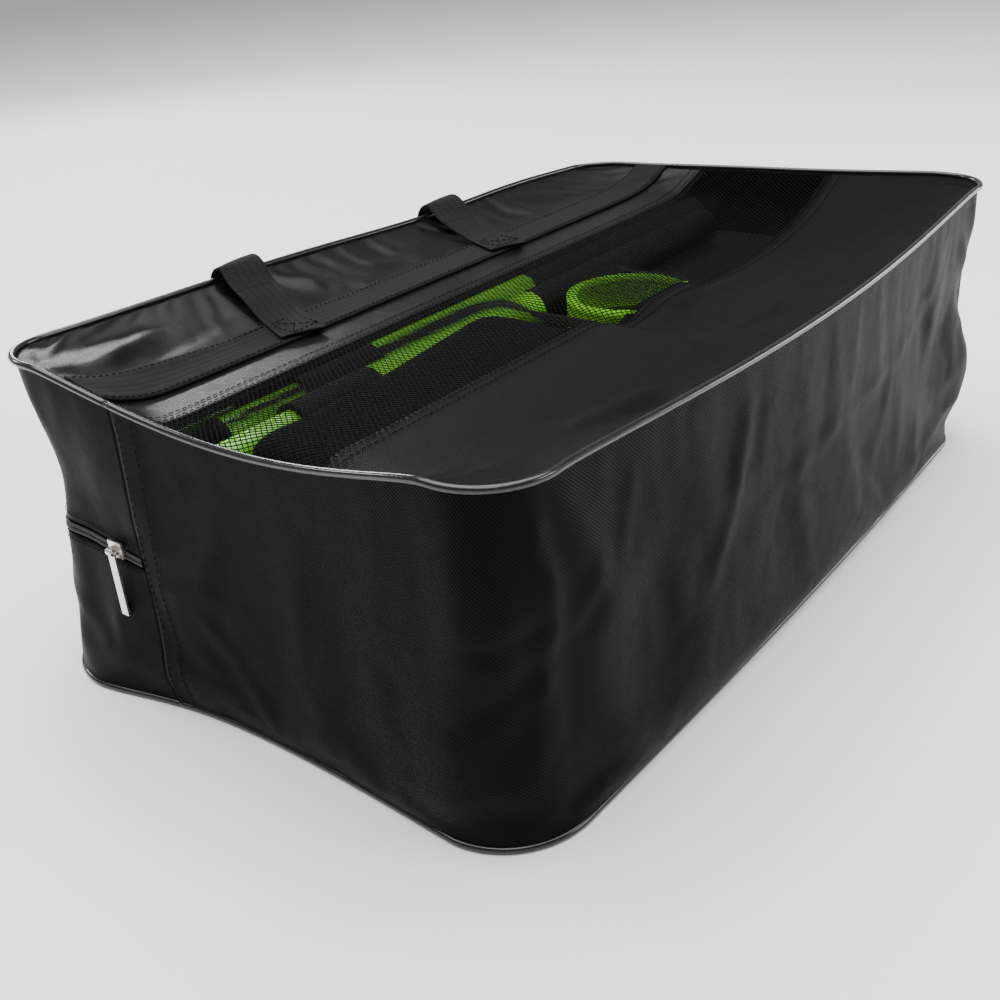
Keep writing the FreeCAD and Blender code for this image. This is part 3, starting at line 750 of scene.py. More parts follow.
def rimHit(y, east):
    # The point of the top rim on the east or west end whose y, before bulging, is that y
    corner = np.abs(y) - (halfWidth - bag["topRadius"])
    turned = np.arcsin(np.clip(corner / bag["topRadius"], 0, 1)) / (np.pi / 2)
    straight = np.clip(y, -(halfWidth - bag["topRadius"]), halfWidth - bag["topRadius"])
    share = straight / (halfWidth - bag["topRadius"]) * shortRun / 2
    run = share + np.sign(y) * turned * quarter
    distance = (marks[4] + shortRun / 2 + run) if east else (-run)
    return rim(distance, 1)[0]


westEnds = rimHit(topRows, False)
eastEnds = rimHit(topRows, True)
share = (topColumns + 1) / 2
top = westEnds[:, None] * (1 - share)[None, :, None] + eastEnds[:, None] * share[None, :, None]
for row, side in ((0, "south"), (-1, "north")):
    x = top[row, :, 0]
    start = marks[2] if side == "south" else marks[6]
    run = (x + longRun / 2) if side == "south" else (longRun / 2 - x)
    edge = rim(start + np.clip(run, 0, longRun), 1)[0]
    top[row, :, 1] = edge[:, 1]
    top[row, :, 2] = edge[:, 2]

# Rows between take their share of how far the two long rims lie off the ends' straight lines
endLine = westEnds[:, None] * (1 - share)[None, :, None] + eastEnds[:, None] * share[None, :, None]
southOff = top[0] - endLine[0]
northOff = top[-1] - endLine[-1]
rowShare = (topRows - topRows[0]) / (topRows[-1] - topRows[0])
southFade = np.clip(1 - rowShare * 2, 0, 1) ** 1.5
northFade = np.clip(rowShare * 2 - 1, 0, 1) ** 1.5
top = endLine + southFade[:, None, None] * southOff[None] + northFade[:, None, None] * northOff[None]

# How far the cloth hangs below the straight lines: (x, y, size along, size across, depth)
topHollows = [
    (-0.170, 0.010, 0.150, 0.110, 0.010),
    (0.150, 0.000, 0.130, 0.090, 0.015),
    (0.170, -0.090, 0.110, 0.060, 0.009),
    (-0.030, -0.115, 0.070, 0.040, 0.006),
    (-0.150, -0.120, 0.060, 0.030, -0.003),
    (0.060, -0.130, 0.050, 0.020, -0.004),
    (-0.020, 0.100, 0.180, 0.040, 0.006),
    (0.200, 0.130, 0.090, 0.040, 0.007),
    (-0.250, 0.150, 0.060, 0.040, -0.006),
    (-0.180, 0.150, 0.030, 0.030, 0.004),
    (-0.080, 0.155, 0.040, 0.025, -0.004),
    (0.020, 0.148, 0.030, 0.030, 0.004),
    (0.090, 0.160, 0.035, 0.022, -0.004),
    (0.150, 0.150, 0.030, 0.030, 0.003),
    (-0.100, 0.072, 0.050, 0.014, 0.002),
    (0.040, 0.070, 0.050, 0.014, -0.002),
]
# Creases and small folds of the top: (x, y where each starts, x, y where it ends, half breadth, height)
topCreases = [
    (-0.285, 0.150, -0.235, 0.172, 0.006, -0.0040),
    (-0.270, 0.128, -0.200, 0.160, 0.007, 0.0030),
    (-0.235, 0.125, -0.150, 0.150, 0.006, -0.0026),
    (-0.105, 0.176, -0.075, 0.140, 0.006, 0.0036),
    (-0.075, 0.140, -0.040, 0.124, 0.005, 0.0030),
    (-0.060, 0.178, -0.028, 0.150, 0.006, -0.0034),
    (-0.028, 0.150, 0.020, 0.130, 0.006, 0.0034),
    (0.050, 0.178, 0.090, 0.140, 0.006, 0.0030),
    (0.100, 0.172, 0.160, 0.132, 0.007, -0.0032),
    (0.150, 0.175, 0.230, 0.135, 0.007, 0.0030),
    (-0.150, 0.064, -0.110, 0.086, 0.005, 0.0026),
    (-0.100, 0.062, -0.060, 0.084, 0.005, -0.0026),
    (-0.050, 0.066, 0.010, 0.080, 0.005, 0.0026),
    (0.030, 0.062, 0.090, 0.084, 0.005, 0.0022),
    (-0.250, 0.064, -0.190, 0.080, 0.005, 0.0016),
    (-0.205, -0.140, -0.130, -0.152, 0.007, 0.0040),
    (-0.175, -0.150, -0.145, -0.166, 0.004, -0.0034),
    (-0.140, -0.090, -0.040, -0.130, 0.008, 0.0034),
    (-0.040, -0.130, 0.030, -0.142, 0.007, 0.0034),
    (-0.030, -0.076, 0.120, -0.074, 0.009, 0.0034),
    (0.120, -0.074, 0.250, -0.092, 0.009, 0.0030),
    (0.040, -0.120, 0.140, -0.110, 0.006, 0.0034),
    (0.130, -0.140, 0.240, -0.130, 0.007, 0.0028),
    (-0.250, -0.080, -0.180, -0.110, 0.008, 0.0022),
]
edgeX = np.minimum(1 - np.abs(topColumns), 0.12) / 0.12
edgeY = np.minimum(halfWidth - np.abs(topRows), 0.035) / 0.035
inside = (edgeX[None] * edgeY[:, None]) ** 0.6
for x, y, long, wide, depth in topHollows:
    hollow = np.exp(-((top[..., 0] - x) / long) ** 2 - ((top[..., 1] - y) / wide) ** 2)
    top[..., 2] -= depth * hollow * inside

for startX, startY, endX, endY, breadth, height in topCreases:
    run = np.array([endX - startX, endY - startY])
    length = np.hypot(*run)
    alongCrease = ((top[..., 0] - startX) * run[0] + (top[..., 1] - startY) * run[1]) / length ** 2
    off = ((top[..., 0] - startX) * run[1] - (top[..., 1] - startY) * run[0]) / length
    ends = np.clip(np.minimum(alongCrease, 1 - alongCrease) * 4 + 0.35, 0, 1)
    top[..., 2] += height * ends ** 1.5 * inside * np.exp(-(off / breadth) ** 2)

topPins = np.zeros(top.shape[:2])
topPins[[0, -1]] = 1.0
topPins[:, [0, -1]] = 1.0
top = settle(top, False, topPins, bag["topGrowth"], 0.5, bag["topCap"], 5)
top = softened(top, False, 1)


def contentHeight(x, y):
    # The height of what lies under the top (poles, pouch, coil of tape), with its steps smoothed
    height = np.full(x.shape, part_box("base_4")[1].z)
    low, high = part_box("peg_pouch")
    height = np.where((x > low.x) & (x < high.x) & (y > low.y) & (y < high.y), high.z, height)
    low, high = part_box("spacing_tape")
    middle = (low + high) / 2
    height = np.where(np.hypot(x - middle.x, y - middle.y) < (high.x - low.x) / 2, high.z, height)
    height = np.where(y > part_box("pole_collar_1")[0].y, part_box("pole_collar_1")[1].z, height)
    for _ in range(3):
        beside = [np.roll(height, shift, axis=axis) for shift in (-1, 1) for axis in (0, 1)]
        height = np.maximum(height, np.max(beside, axis=0))
    for _ in range(14):
        beside = [np.roll(height, shift, axis=axis) for shift in (-1, 1) for axis in (0, 1)]
        height = (height + sum(beside)) / 5
    return height


rest = {"clearance": 0.0025, "soft": 0.004}  # how the top lies on what is packed
floorUnder = contentHeight(top[..., 0], top[..., 1]) + rest["clearance"]
gap = top[..., 2] - floorUnder
pressed = rest["soft"] * np.exp(np.minimum(gap, rest["soft"]) / rest["soft"] - 1)
top[..., 2] = np.where(topPins > 0, top[..., 2], floorUnder + np.where(gap > rest["soft"], gap, pressed))
print("top settled, lowest", round(float(top[..., 2].min()), 4))


def topPlaces(x, y):
    # Row and column places of the top grid at those x and y
    row = np.interp(y, topRows, np.arange(len(topRows)))
    west = np.interp(row, np.arange(len(topRows)), westEnds[:, 0])
    east = np.interp(row, np.arange(len(topRows)), eastEnds[:, 0])
    column = (x - west) / (east - west) * (len(topColumns) - 1)
    return row, column


def onTop(x, y, lift=0.0):
    # Points on the top cloth at x and y, raised by lift, and the cloth's upward directions
    x, y = np.broadcast_arrays(np.asarray(x, float), np.asarray(y, float))
    row, column = topPlaces(x, y)
    point = samplePath(top, row, column)
    step = 0.5
    alongX = samplePath(top, row, column + step) - samplePath(top, row, column - step)
    alongY = samplePath(top, row + step, column) - samplePath(top, row - step, column)
    upward = direction(np.cross(alongX, alongY))
    return point + upward * lift, upward


def topGrid(x, y, lift):
    # A grid of points over the top cloth: a row for each y, a column for each x
    place, _ = onTop(*[part.ravel() for part in np.meshgrid(x, y)], lift)
    return place.reshape(len(y), len(x), 3)


wallsLooped = np.concatenate([walls, walls[:, :1], walls[:, 1:2]], axis=1)


def onWall(distance, level, lift=0.0):
    # Points on the walls at a distance round the bag and a share of the height, and outward directions
    distance, level = np.broadcast_arrays(np.asarray(distance, float), np.asarray(level, float))
    row = level * (bag["rows"] - 1)
    column = np.mod(distance, aroundBag) / aroundBag * columns
    point = samplePath(wallsLooped, row, column)
    aside = samplePath(wallsLooped, row, column + 0.5) - point
    above = samplePath(wallsLooped, np.minimum(row + 0.5, bag["rows"] - 1), column) \
        - samplePath(wallsLooped, np.maximum(row - 0.5, 0), column)
    outward = direction(np.cross(aside, above))
    return point + outward * lift, outward


panelStep = 0.003  # between the points of a cloth panel


def wallPanel(name, start, end, low, high, finish):
    # Cloth between two distances round the bag and two shares of its height
    distance = np.linspace(start, end, int(round((end - start) / panelStep)))
    level = np.linspace(low, high, int(round((high - low) * bagHeight / panelStep)))
    wide = np.concatenate([walls[:, -3:], walls, walls[:, :3]], axis=1)
    place = np.mod(distance, aroundBag) / aroundBag * columns + 3
    grid = regrid(wide, level * (bag["rows"] - 1), place)
    cut = cutMap(distance, level * bagHeight)
    return sheetPiece(name, grid, cut, finish, bag["cloth"])


def topPanel(name, low, high, finish):
    # Cloth of the top between two places across it
    y = np.linspace(low, high, int(round((high - low) / panelStep)))
    rowsHere = np.interp(y, topRows, np.arange(len(topRows)))
    columnsHere = np.linspace(0, len(topColumns) - 1, int(round(2 * halfLength / panelStep)))
    grid = regrid(top, rowsHere, columnsHere)
    cut = np.stack([grid[..., 0], grid[..., 1]], axis=-1)
    return sheetPiece(name, grid, cut, finish, bag["cloth"])


def rides(piece, body, slot, *nodes):
    # A piece that moves with one body
    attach(piece, body)
    if nodes:
        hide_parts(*nodes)
    return piece


def bends(piece, slot, *nodes):
    # A piece that crosses from the bag to its mouth: its CAD parts are hidden and its shape is baked in place
    if nodes:
        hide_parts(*nodes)
    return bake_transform(piece)


zipShare = zipZ / bagHeight
zipHalf = 0.0042 / bagHeight  # the cloth's edge lies this share of the height from the zip's middle
gusset = wallPanel("frontGusset", 0.0, seamFar, 0.0, 1.0, "cloth")
gussetEnd = wallPanel("frontGussetEnd", seamNear, aroundBag - 1e-6, 0.0, 1.0, "cloth")


def joinPieces(name, pieces):
    # Several pieces made into one, so that a cloth stays one piece
    for piece in bpy.context.selected_objects:
        piece.select_set(False)
    for piece in pieces:
        piece.select_set(True)
    bpy.context.view_layer.objects.active = pieces[0]
    bpy.ops.object.join()
    pieces[0].name = name
    return pieces[0]


gusset = joinPieces("frontGusset", [gusset, gussetEnd])
mergeDoubles(gusset, 0.0002)
rides(gusset, "bag", "bag_cloth", "front_gusset")
lowerPanel = wallPanel("lowerZipPanel", seamFar, seamNear, 0.0, zipShare - zipHalf, "cloth")
rides(lowerPanel, "bag", "bag_cloth", "lower_zip_panel")
upperPanel = wallPanel("upperZipPanel", seamFar, seamNear, zipShare + zipHalf, 1.0, "cloth")
bends(upperPanel, "bag_cloth", "upper_zip_panel")

frontTop = topPanel("frontTopPanel", -halfWidth, -meshY, "cloth")
rides(frontTop, "bag", "bag_cloth", "front_top_panel")
rearTop = topPanel("rearTopPanel", meshY, halfWidth, "satin")
bends(rearTop, "bag_cloth", "rear_top_panel", "top_strip_root")


def bottomCloth():
    # The bottom panel: the outline drawn in towards the middle, a little raised there
    edge = rim(columnDistance, 0)[0]
    share = np.linspace(0, 1, 40)
    points = edge[None] * (1 - share)[:, None, None]
    points[..., 2] = 0.0020 - 0.0012 * np.sin(np.clip(share * 6, 0, 1) * np.pi / 2)[:, None]
    piece = sheetPiece("bottomPanel", points, points[..., :2], "cloth", 0.0007, closed=True, flip=True)
    mergeDoubles(piece)
    return piece


rides(bottomCloth(), "bag", "bag_cloth", "bottom_panel")
print("cloth panels made")


piping = {
    "radius": 0.0021,
    "step": 0.003,
    "sides": 12,
    "topStand": 0.0012,
    "topRise": 0.0008,
    "bottomStand": -0.0006,
    "bottomRise": 0.0001,
}


def rimPipe(name, start, end, level, part):
    # A round cord that follows the rim between two distances round the bag
    distance = np.linspace(start, end, int((end - start) / piping["step"]))
    edge, outward = rim(distance, level)
    edge[:, :2] += outward * piping[name + "Stand"]
    edge[:, 2] += piping[name + "Rise"]
    return cordPiece(name + "Piping" + part, edge, piping["radius"], "piping", piping["sides"])


for level, name in ((1, "top"), (0, "bottom")):
    rides(rimPipe(name, -seamY, seamFar, level, "Front"), "bag", "piping", name + "_piping_front")
    rear = rimPipe(name, seamFar, seamNear, level, "Rear")
    if level:
        bends(rear, "piping", "top_piping_rear")
    else:
        rides(rear, "bag", "piping", "bottom_piping_rear")


print("piping made")

netting = {"cellLong": 0.0035, "cellWide": 0.0045, "thread": 0.00034, "knot": 0.22}


def meshThreads(name, west, east):
    # Two families of threads that zigzag past each other: y runs evenly, x swings a quarter cell each way,
    # and they run side by side for a short way where they meet, as in knitted net
    long = netting["cellLong"]
    wide = netting["cellWide"]
    halves = int(round(2 * meshY / (wide / 2)))
    knots = np.arange(halves + 1)
    y = np.repeat(-meshY + knots * (2 * meshY / halves), 2)
    y[0::2] -= netting["knot"] * wide / 4
    y[1::2] += netting["knot"] * wide / 4
    y = np.clip(y, -meshY, meshY)
    swing = np.repeat(np.where(knots % 2, 1.0, -1.0), 2)
    centres = np.arange(int(west / long), int(east / long)) * long
    paths = []
    for sign in (1, -1):
        reach = long / 4 - netting["thread"] * 0.45
        x = centres[:, None] + sign * swing[None] * reach + (0 if sign > 0 else long / 2)
        paths.append(np.stack([x, np.broadcast_to(y[None], x.shape)], axis=-1))
    flat = np.concatenate(paths)
    threads, points = flat.shape[:2]
    place, upward = onTop(flat[..., 0].ravel(), flat[..., 1].ravel(), 0.0004)
    place = place.reshape(threads, points, 3)
    upward = upward.reshape(threads, points, 3)
    tangent = direction(np.gradient(place, axis=1))
    side = direction(np.cross(tangent, upward))
    angle = np.array([np.pi / 2, np.pi * 7 / 6, np.pi * 11 / 6])
    ring = side[:, :, None] * np.cos(angle)[:, None] + upward[:, :, None] * np.sin(angle)[:, None]
    solid = place[:, :, None] + ring * netting["thread"]
    faces = tubeFaces(threads, points, 3)[:, ::-1]
    cut = np.stack([solid[..., 1], solid[..., 0]], axis=-1).reshape(-1, 2)[faces.reshape(-1)]
    return meshPiece(name, solid.reshape(-1, 3), faces, cut, "netting")


rides(meshThreads("meshPanelWest", -halfLength + 0.005, 0.0), "bag", "mesh", "mesh_panel")
rides(meshThreads("meshPanelEast", 0.0, halfLength - 0.005), "bag", "mesh", "mesh_panel")

hems = {"half": 0.0045, "fromEnd": 0.004, "under": -0.0012, "thick": 0.0006}
for side, name in ((-1, "Front"), (1, "Rear")):
    x = np.linspace(-halfLength + hems["fromEnd"], halfLength - hems["fromEnd"], 200)
    y = side * meshY + np.linspace(-hems["half"], hems["half"], 5)
    grid = topGrid(x, y, hems["under"])
    hem = sheetPiece("meshHem" + name, grid, grid[..., :2], "tape", hems["thick"])
    rides(hem, "bag", "zip_tape", "mesh_hem_" + name.lower())
print("mesh window made")


strapLow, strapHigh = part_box("webbing_strap")
strapY = (strapLow.y + strapHigh.y) / 2
webbing = {"half": (strapHigh.y - strapLow.y) / 2, "thick": 0.0014, "crown": 0.0006}
strapX = np.linspace(strapLow.x + 0.001, strapHigh.x - 0.001, 260)
strapAcross = np.linspace(-1, 1, 9) * webbing["half"]
strapGrid = topGrid(strapX, strapY + strapAcross, 0.0006)
strapCut = cutMap(strapX, strapAcross)
strap = sheetPiece("webbingStrap", strapGrid, strapCut, "webbing", webbing["thick"], inward=False)
bends(strap, "webbing", "webbing_strap")

handle = {
    "middle": (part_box("handle_grip")[0].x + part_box("handle_grip")[1].x) / 2,
    "legX": (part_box("handle_leg_right")[1].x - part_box("handle_leg_left")[0].x) / 2 - webbing["half"],
    "tabStart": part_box("handle_tab_left")[0].y,
    "tabEnd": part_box("handle_tab_left")[1].y,
    "fold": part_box("handle_grip")[0].y,
    "low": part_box("handle_grip")[0].z,
    "start": -0.017,  # how far the sewn ends lie to -X of the middle of the legs
    "over": 0.010,  # and the fold over the rim to +X
    "bend": 0.062,
    "split": 0.150,
}


def smoothCurve(points, count):
    # Evenly spaced points on the Catmull-Rom curve through the given ones
    points = np.asarray(points, float)
    dense = catmull(points, np.linspace(0, len(points) - 1, 400))
    run = runAlong(dense)
    even = np.linspace(0, run[-1], count)
    return np.stack([np.interp(even, run, dense[:, axis]) for axis in range(3)], axis=-1)


def legPlace(side, y):
    # Where the middle of a leg runs at y: a slant that eases out over the rim
    share = np.clip((y - handle["tabStart"]) / (handle["fold"] - handle["tabStart"]), 0, 1)
    lean = handle["start"] + (handle["over"] - handle["start"]) * share ** 0.8
    return handle["middle"] + side * handle["legX"] + lean


def handlePath():
    # The whole loop: sewn end, leg, fold over the rim, hanging U, and back to the other sewn end
    halves = {}
    for side in (-1, 1):
        on = []
        for y, lift in ((handle["tabStart"], 0.0030), (handle["tabEnd"] - 0.012, 0.0032),
                        (handle["tabEnd"] + 0.004, 0.0040), (0.140, 0.0060), (0.158, 0.0075)):
            point, _ = onTop(np.array([legPlace(side, y)]), np.array([y]), lift)
            on.append(point[0])
        edgeX = legPlace(side, handle["fold"])
        edge = onTop(np.array([edgeX]), np.array([halfWidth - 0.001]), 0.0)[0][0]
        hangX = handle["middle"] + side * handle["legX"] + handle["over"] * 0.6
        over = [(edgeX - 0.001, 0.174, edge[2] + 0.0095),
                (edgeX, handle["fold"] - 0.0005, edge[2] + 0.0060),
                (edgeX, handle["fold"] + 0.0035, edge[2] - 0.006),
                (hangX, handle["fold"] + 0.0030, edge[2] - 0.030)]
        halves[side] = on + over
    radius = handle["bend"]
    low = handle["low"] + webbing["half"]
    xs = handle["legX"]
    y = handle["fold"] + 0.0025
    turn = [(xs - 0.002, y, low + radius), (xs - radius * 0.32, y + 0.004, low + radius * 0.27),
            (xs - radius * 1.05, y + 0.006, low)]
    shape = [(-x, across, up) for x, across, up in turn] + [(0, y + 0.006, low - 0.004)] + turn[::-1]
    return halves, [(x + handle["middle"], across, up) for x, across, up in shape]


halves, bend = handlePath()
whole = smoothCurve(halves[-1] + bend + halves[1][::-1], 260)
tangentWhole = direction(np.gradient(whole, axis=0))
outward = np.zeros_like(whole)
past = np.clip((whole[:, 1] - 0.172) / 0.012, 0, 1)
outward[:, 2] = 1 - past
outward[:, 1] = past
sideWhole = direction(np.cross(tangentWhole, outward))
splitRows = np.flatnonzero(whole[:, 1] > handle["split"])
first, last = splitRows[0], splitRows[-1]
foldY = handle["fold"]
stretches = [
    ("handleLegLeft", slice(0, first + 1), ("handle_leg_left", "handle_tab_left")),
    ("handleLegRight", slice(last, len(whole)), ("handle_leg_right", "handle_tab_right")),
    ("handleGrip", slice(first, last + 1), ("handle_grip",)),
]
tabEnd = handle["tabEnd"]
legBlend = ("mouth", "handle_legs", (0, tabEnd - 0.004, bagHeight), (0, tabEnd + 0.010, bagHeight))
gripBlend = ("handle_legs", "handle_grip", (0, foldY - 0.010, bagHeight + 0.006),
             (0, foldY + 0.002, bagHeight - 0.006))
for name, part, nodes in stretches:
    piece = ribbonPiece(name, whole[part], sideWhole[part], webbing["half"], webbing["thick"], "webbing",
                        webbing["crown"])
    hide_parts(*nodes)
    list(gripBlend if name == "handleGrip" else legBlend)
    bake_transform(piece)
print("strap and handle made")


zipper = {
    "coilRadius": 0.0012,
    "coilPitch": 0.0016,
    "coilApart": 0.0015,
    "tapeHalf": 0.0075,
    "tapeDeep": 0.0022,
}
zipRun = np.linspace(seamFar + 0.002, seamNear - 0.002, 2200)
for side, name in ((-1, "Lower"), (1, "Upper")):
    level = zipShare + side * zipper["coilApart"] / bagHeight
    path, out = onWall(zipRun, np.full(len(zipRun), level), -0.0002)
    run = np.arange(len(path)) * (zipRun[1] - zipRun[0])
    radius = zipper["coilRadius"] * (0.86 + 0.22 * np.sin(2 * np.pi * run / zipper["coilPitch"]))
    coil = cordPiece("zipCoil" + name, path, radius, "coil", 6)
    distance = np.linspace(seamFar, seamNear, 280)
    heights = zipShare + side * np.linspace(0.0004, zipper["tapeHalf"], 4) / bagHeight
    upwards = heights if side > 0 else heights[::-1]
    grid = np.array([onWall(distance, np.full(280, height), -zipper["tapeDeep"])[0] for height in upwards])
    cut = cutMap(distance, heights * bagHeight)
    tape = sheetPiece("zipTape" + name, grid, cut, "tape", 0.0006)
    for piece, slot in ((coil, "zip_coil"), (tape, "zip_tape")):
        node = slot + "_" + name.lower()
        if side > 0:
            bends(piece, slot, node)
        else:
            rides(piece, "bag", slot, node)


def dress(names, finish):
    # CAD pieces whose shape stays, given a finish of their own
    for name in names:
        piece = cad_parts[name]
        piece.data.materials.clear()
        piece.data.materials.append(finishes[finish])


dress(["zip_slider", "zip_puller"], "nickel")
print("zip made")


seams = {
    "lift": 0.0004,
    "meshRows": (0.003, 0.009),  # from the mesh's edge
    "endRows": (0.003, 0.0135),  # from the end seam
    "zipRow": 0.0078,  # from the middle of the zip
    "strapRow": 0.002,  # from the strap's edge
    "tapeWide": 0.010,
    "boxMiddle": 0.012,  # from the start of the handle's sewn end
    "boxHalf": 0.011,
    "boxEnds": (0.003, 0.006),  # from the start and the finish of the sewn end
    "boxLift": 0.0052,
}


def topStitches(y, lift=seams["lift"]):
    # A line of stitches along the top at that y
    return onTop(np.linspace(-0.294, 0.294, 240), np.full(240, y), lift)


def zipStitches(side):
    # The line of stitches above (1) or below (-1) the zip
    distance = np.linspace(seamFar + 0.004, seamNear - 0.004, 300)
    return onWall(distance, np.full(300, zipShare + side * seams["zipRow"] / bagHeight), seams["lift"])


bagRuns = [topStitches(side * (meshY + row)) for side in (-1, 1) for row in seams["meshRows"]]
for near in [seamNear + row for row in seams["endRows"]] + [seamFar - row for row in seams["endRows"]]:
    bagRuns.append(onWall(np.full(60, near), np.linspace(0.02, 0.98, 60), seams["lift"]))
bagRuns.append(zipStitches(-1))
rides(stitchPiece("bagStitching", bagRuns), "bag", "bag_cloth")
mouthRuns = [zipStitches(1)]
for side in (-1, 1):
    mouthRuns.append(topStitches(strapY + side * (webbing["half"] - seams["strapRow"]), 0.0022))
bends(stitchPiece("mouthStitching", mouthRuns), "bag_cloth")
boxRuns = []  # a crossed box on each sewn end of the handle
for side in (-1, 1):
    middle = legPlace(side, handle["tabStart"] + seams["boxMiddle"])
    across = np.linspace(-seams["boxHalf"], seams["boxHalf"], 16)
    down = np.linspace(handle["tabStart"] + seams["boxEnds"][0], handle["tabEnd"] - seams["boxEnds"][1], 16)
    for y in (down[0], down[-1]):
        boxRuns.append(onTop(middle + across, np.full(16, y), seams["boxLift"]))
    for x in (across[0], across[-1]):
        boxRuns.append(onTop(np.full(16, middle + x), down, seams["boxLift"]))
    for diagonal in (across, -across):
        boxRuns.append(onTop(middle + diagonal, down, seams["boxLift"] + 0.0001))
rides(stitchPiece("tabStitching", boxRuns), "mouth", "webbing")

for side, name, distance in ((-1, "left", seamNear), (1, "right", seamFar)):
    strip = np.linspace(0, seams["tapeWide"], 4) * -side
    levels = np.linspace(0.01, 0.985, 70)
    grid = np.array([onWall(np.full(70, distance + step), levels, -0.0022)[0] for step in strip])
    cut = cutMap(levels * bagHeight, strip)
    tape = sheetPiece("endSeamTape" + name.title(), grid, cut, "tape", 0.0006)
    rides(tape, "bag", "zip_tape", "end_seam_tape_" + name)
print("stitching made")


poles = range(1, 7)
dress(["pole_%s_%d" % (part, number) for part in ("outer", "inner") for number in poles], "lime")
dress(["pole_collar_%d" % number for number in poles] + ["pole_end_sleeves", "pole_tips"], "rubber")
dress(["base_%d" % number for number in poles] + ["filler_caps"], "base")
dress(["ground_pegs"], "steel")

pouch = {
    "squareness": 0.16,
    "fill": 0.30,
    "flatness": 0.5,
    "ripple": 0.0014,
    "leanOut": 0.022,
    "leanUp": 0.001,
}


def signedPower(values, power):
    # The size of each value to that power, with the value's own sign
    return np.sign(values) * np.abs(values) ** power


def pouchShell():
    # A flat soft pouch: latitude and longitude round a rounded box, each cosine and sine raised to a small
    # power to square it off, rippled on top, with its far corner leaning on the first pole
    low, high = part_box("peg_pouch")
    centre = np.array((low + high) / 2)
    size = np.array((high - low) / 2)
    rows, count = 30, 120
    latitude = np.linspace(-np.pi / 2, np.pi / 2, rows)
    angle = np.linspace(0, 2 * np.pi, count, endpoint=False)
    square = pouch["squareness"]
    around = np.stack([signedPower(np.cos(angle), square), signedPower(np.sin(angle), square)], axis=-1)
    reach = np.cos(latitude) ** pouch["fill"]
    height = signedPower(np.sin(latitude), pouch["flatness"])
    points = np.zeros((rows, count, 3))
    points[..., :2] = around[None] * reach[:, None, None] * size[:2] * 0.985
    ripple = pouch["ripple"] * np.sin(points[..., 0] * 90 + 1.3) * np.sin(points[..., 1] * 70)
    upper = np.clip(height, 0, 1)[:, None]
    points[..., 2] = height[:, None] * size[2] * 0.94 + ripple * upper
    lean = upper * np.clip((points[..., 1] / size[1] - 0.55) / 0.4, 0, 1) \
        * np.clip((points[..., 0] / size[0] + 0.35) / 1.2, 0, 1) ** 1.3
    points[..., 1] += lean * pouch["leanOut"]
    points[..., 2] += lean * pouch["leanUp"]
    points += centre
    piece = sheetPiece("pegPouch", points, points[..., :2], "pouch", closed=True)
    mergeDoubles(piece)
    return piece


rides(pouchShell(), "bag", "pouch_cloth", "peg_pouch")

coilOfTape = {"turns": 4.4, "apart": 0.0012, "uneven": 0.0004, "thick": 0.0008}


def tapeCoil():
    # A loose coil of tape standing on its edge: a spiral whose radius shrinks by "apart" each turn
    low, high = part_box("spacing_tape")
    centre = np.array((low + high) / 2)
    outer = (high.x - low.x) / 2 - coilOfTape["thick"]
    angle = np.linspace(0, coilOfTape["turns"] * 2 * np.pi, 420)
    radius = outer - coilOfTape["apart"] * angle / (2 * np.pi) - coilOfTape["uneven"] * np.sin(angle * 2.3)
    path = np.stack([np.cos(angle) * radius, np.sin(angle) * radius], axis=-1)
    heights = np.linspace(low.z + 0.0005, high.z - 0.0005, 7)
    points = np.zeros((7, len(angle), 3))
    points[..., :2] = path[None] + centre[:2]
    points[..., 2] = heights[:, None]
    run = runAlong(path)
    cut = cutMap(run, heights)
    return sheetPiece("spacingTape", points, cut, "limeTape", coilOfTape["thick"])


rides(tapeCoil(), "bag", "green_tape", "spacing_tape")
print("contents dressed")


studio = {"floorHalf": 6.0, "sky": 0.42}
floorEnds = np.array([-1.0, 1.0]) * studio["floorHalf"]
floorX, floorY = np.meshgrid(floorEnds, floorEnds)
floorGrid = np.stack([floorX, floorY, np.zeros((2, 2))], axis=-1)
sheetPiece("studioFloor", floorGrid, floorGrid[..., :2], "floor")

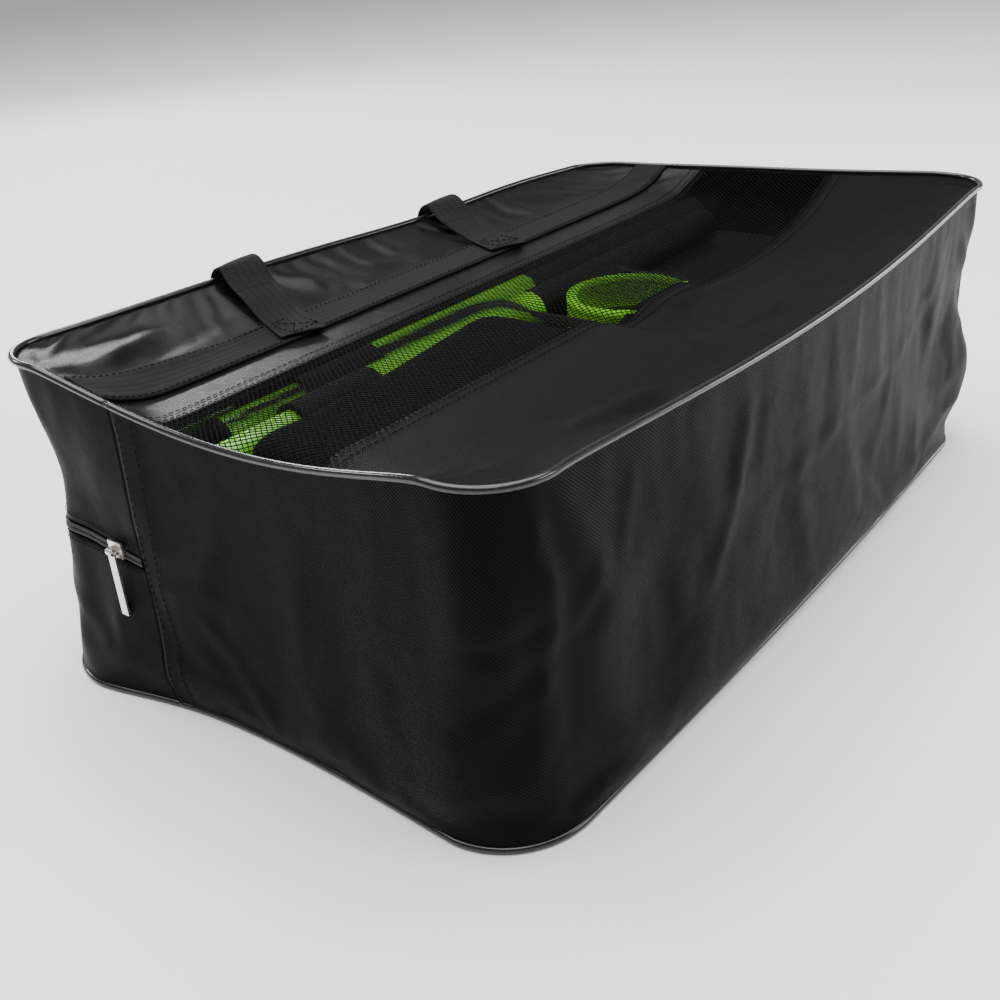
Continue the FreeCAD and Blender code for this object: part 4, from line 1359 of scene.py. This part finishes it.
lights = {  # name: place, aim, size across and up, watts
    "ceiling": ((0.0, 0.3, 2.8), (0.0, 0.0, 0.0), (3.6, 3.6), 230),
    "farBox": ((1.2, 2.3, 1.05), (-0.1, 0.1, 0.15), (0.8, 0.30), 16),
    "leftBox": ((-0.5, 2.3, 1.2), (-0.2, 0.1, 0.15), (0.35, 0.35), 9),
    "frontBox": ((0.9, -2.2, 1.3), (0.1, 0.0, 0.1), (1.2, 0.8), 22),
    "sideBox": ((1.7, -1.1, 0.45), (0.0, -0.18, 0.1), (0.9, 0.5), 13),
}
for name, (place, aim, (wide, tall), watts) in lights.items():
    lamp = bpy.data.lights.new(name, "AREA")
    lamp.shape = "RECTANGLE"
    lamp.size = wide
    lamp.size_y = tall
    lamp.energy = watts
    holder = bpy.data.objects.new(name, lamp)
    holder.location = place
    back = direction(np.array(place) - np.array(aim))
    side = direction(np.cross([0, 0, 1.0], back))
    turned = Matrix(np.column_stack([side, np.cross(back, side), back]).tolist()).to_4x4()
    holder.matrix_world = Matrix.Translation(place) @ turned
    bpy.context.scene.collection.objects.link(holder)

world = bpy.data.worlds.new("studio")
world.use_nodes = True
world.node_tree.nodes["Background"].inputs["Color"].default_value = grey(1.0)
world.node_tree.nodes["Background"].inputs["Strength"].default_value = studio["sky"]
bpy.context.scene.world = world

cameraPlan = {
    "place": (-0.6198, -0.4400, 0.4126),
    "heading": 0.685,  # from +X towards +Y, radians
    "down": 0.4717,
    "roll": -0.0760,
    "lens": 42.68,
}
heading, down, roll = cameraPlan["heading"], cameraPlan["down"], cameraPlan["roll"]
level = math.cos(down)
forward = np.array([math.cos(heading) * level, math.sin(heading) * level, -math.sin(down)])
right = np.array([math.sin(heading), -math.cos(heading), 0.0])
upward = np.cross(right, forward)
tiltedRight = math.cos(roll) * right + math.sin(roll) * upward
tiltedUp = -math.sin(roll) * right + math.cos(roll) * upward
camera = bpy.data.objects.new("camera", bpy.data.cameras.new("camera"))
camera.data.lens = cameraPlan["lens"]
turned = Matrix(np.column_stack([tiltedRight, tiltedUp, -forward]).tolist()).to_4x4()
camera.matrix_world = Matrix.Translation(cameraPlan["place"]) @ turned
bpy.context.scene.collection.objects.link(camera)
bpy.context.scene.camera = camera
print("studio and camera set")
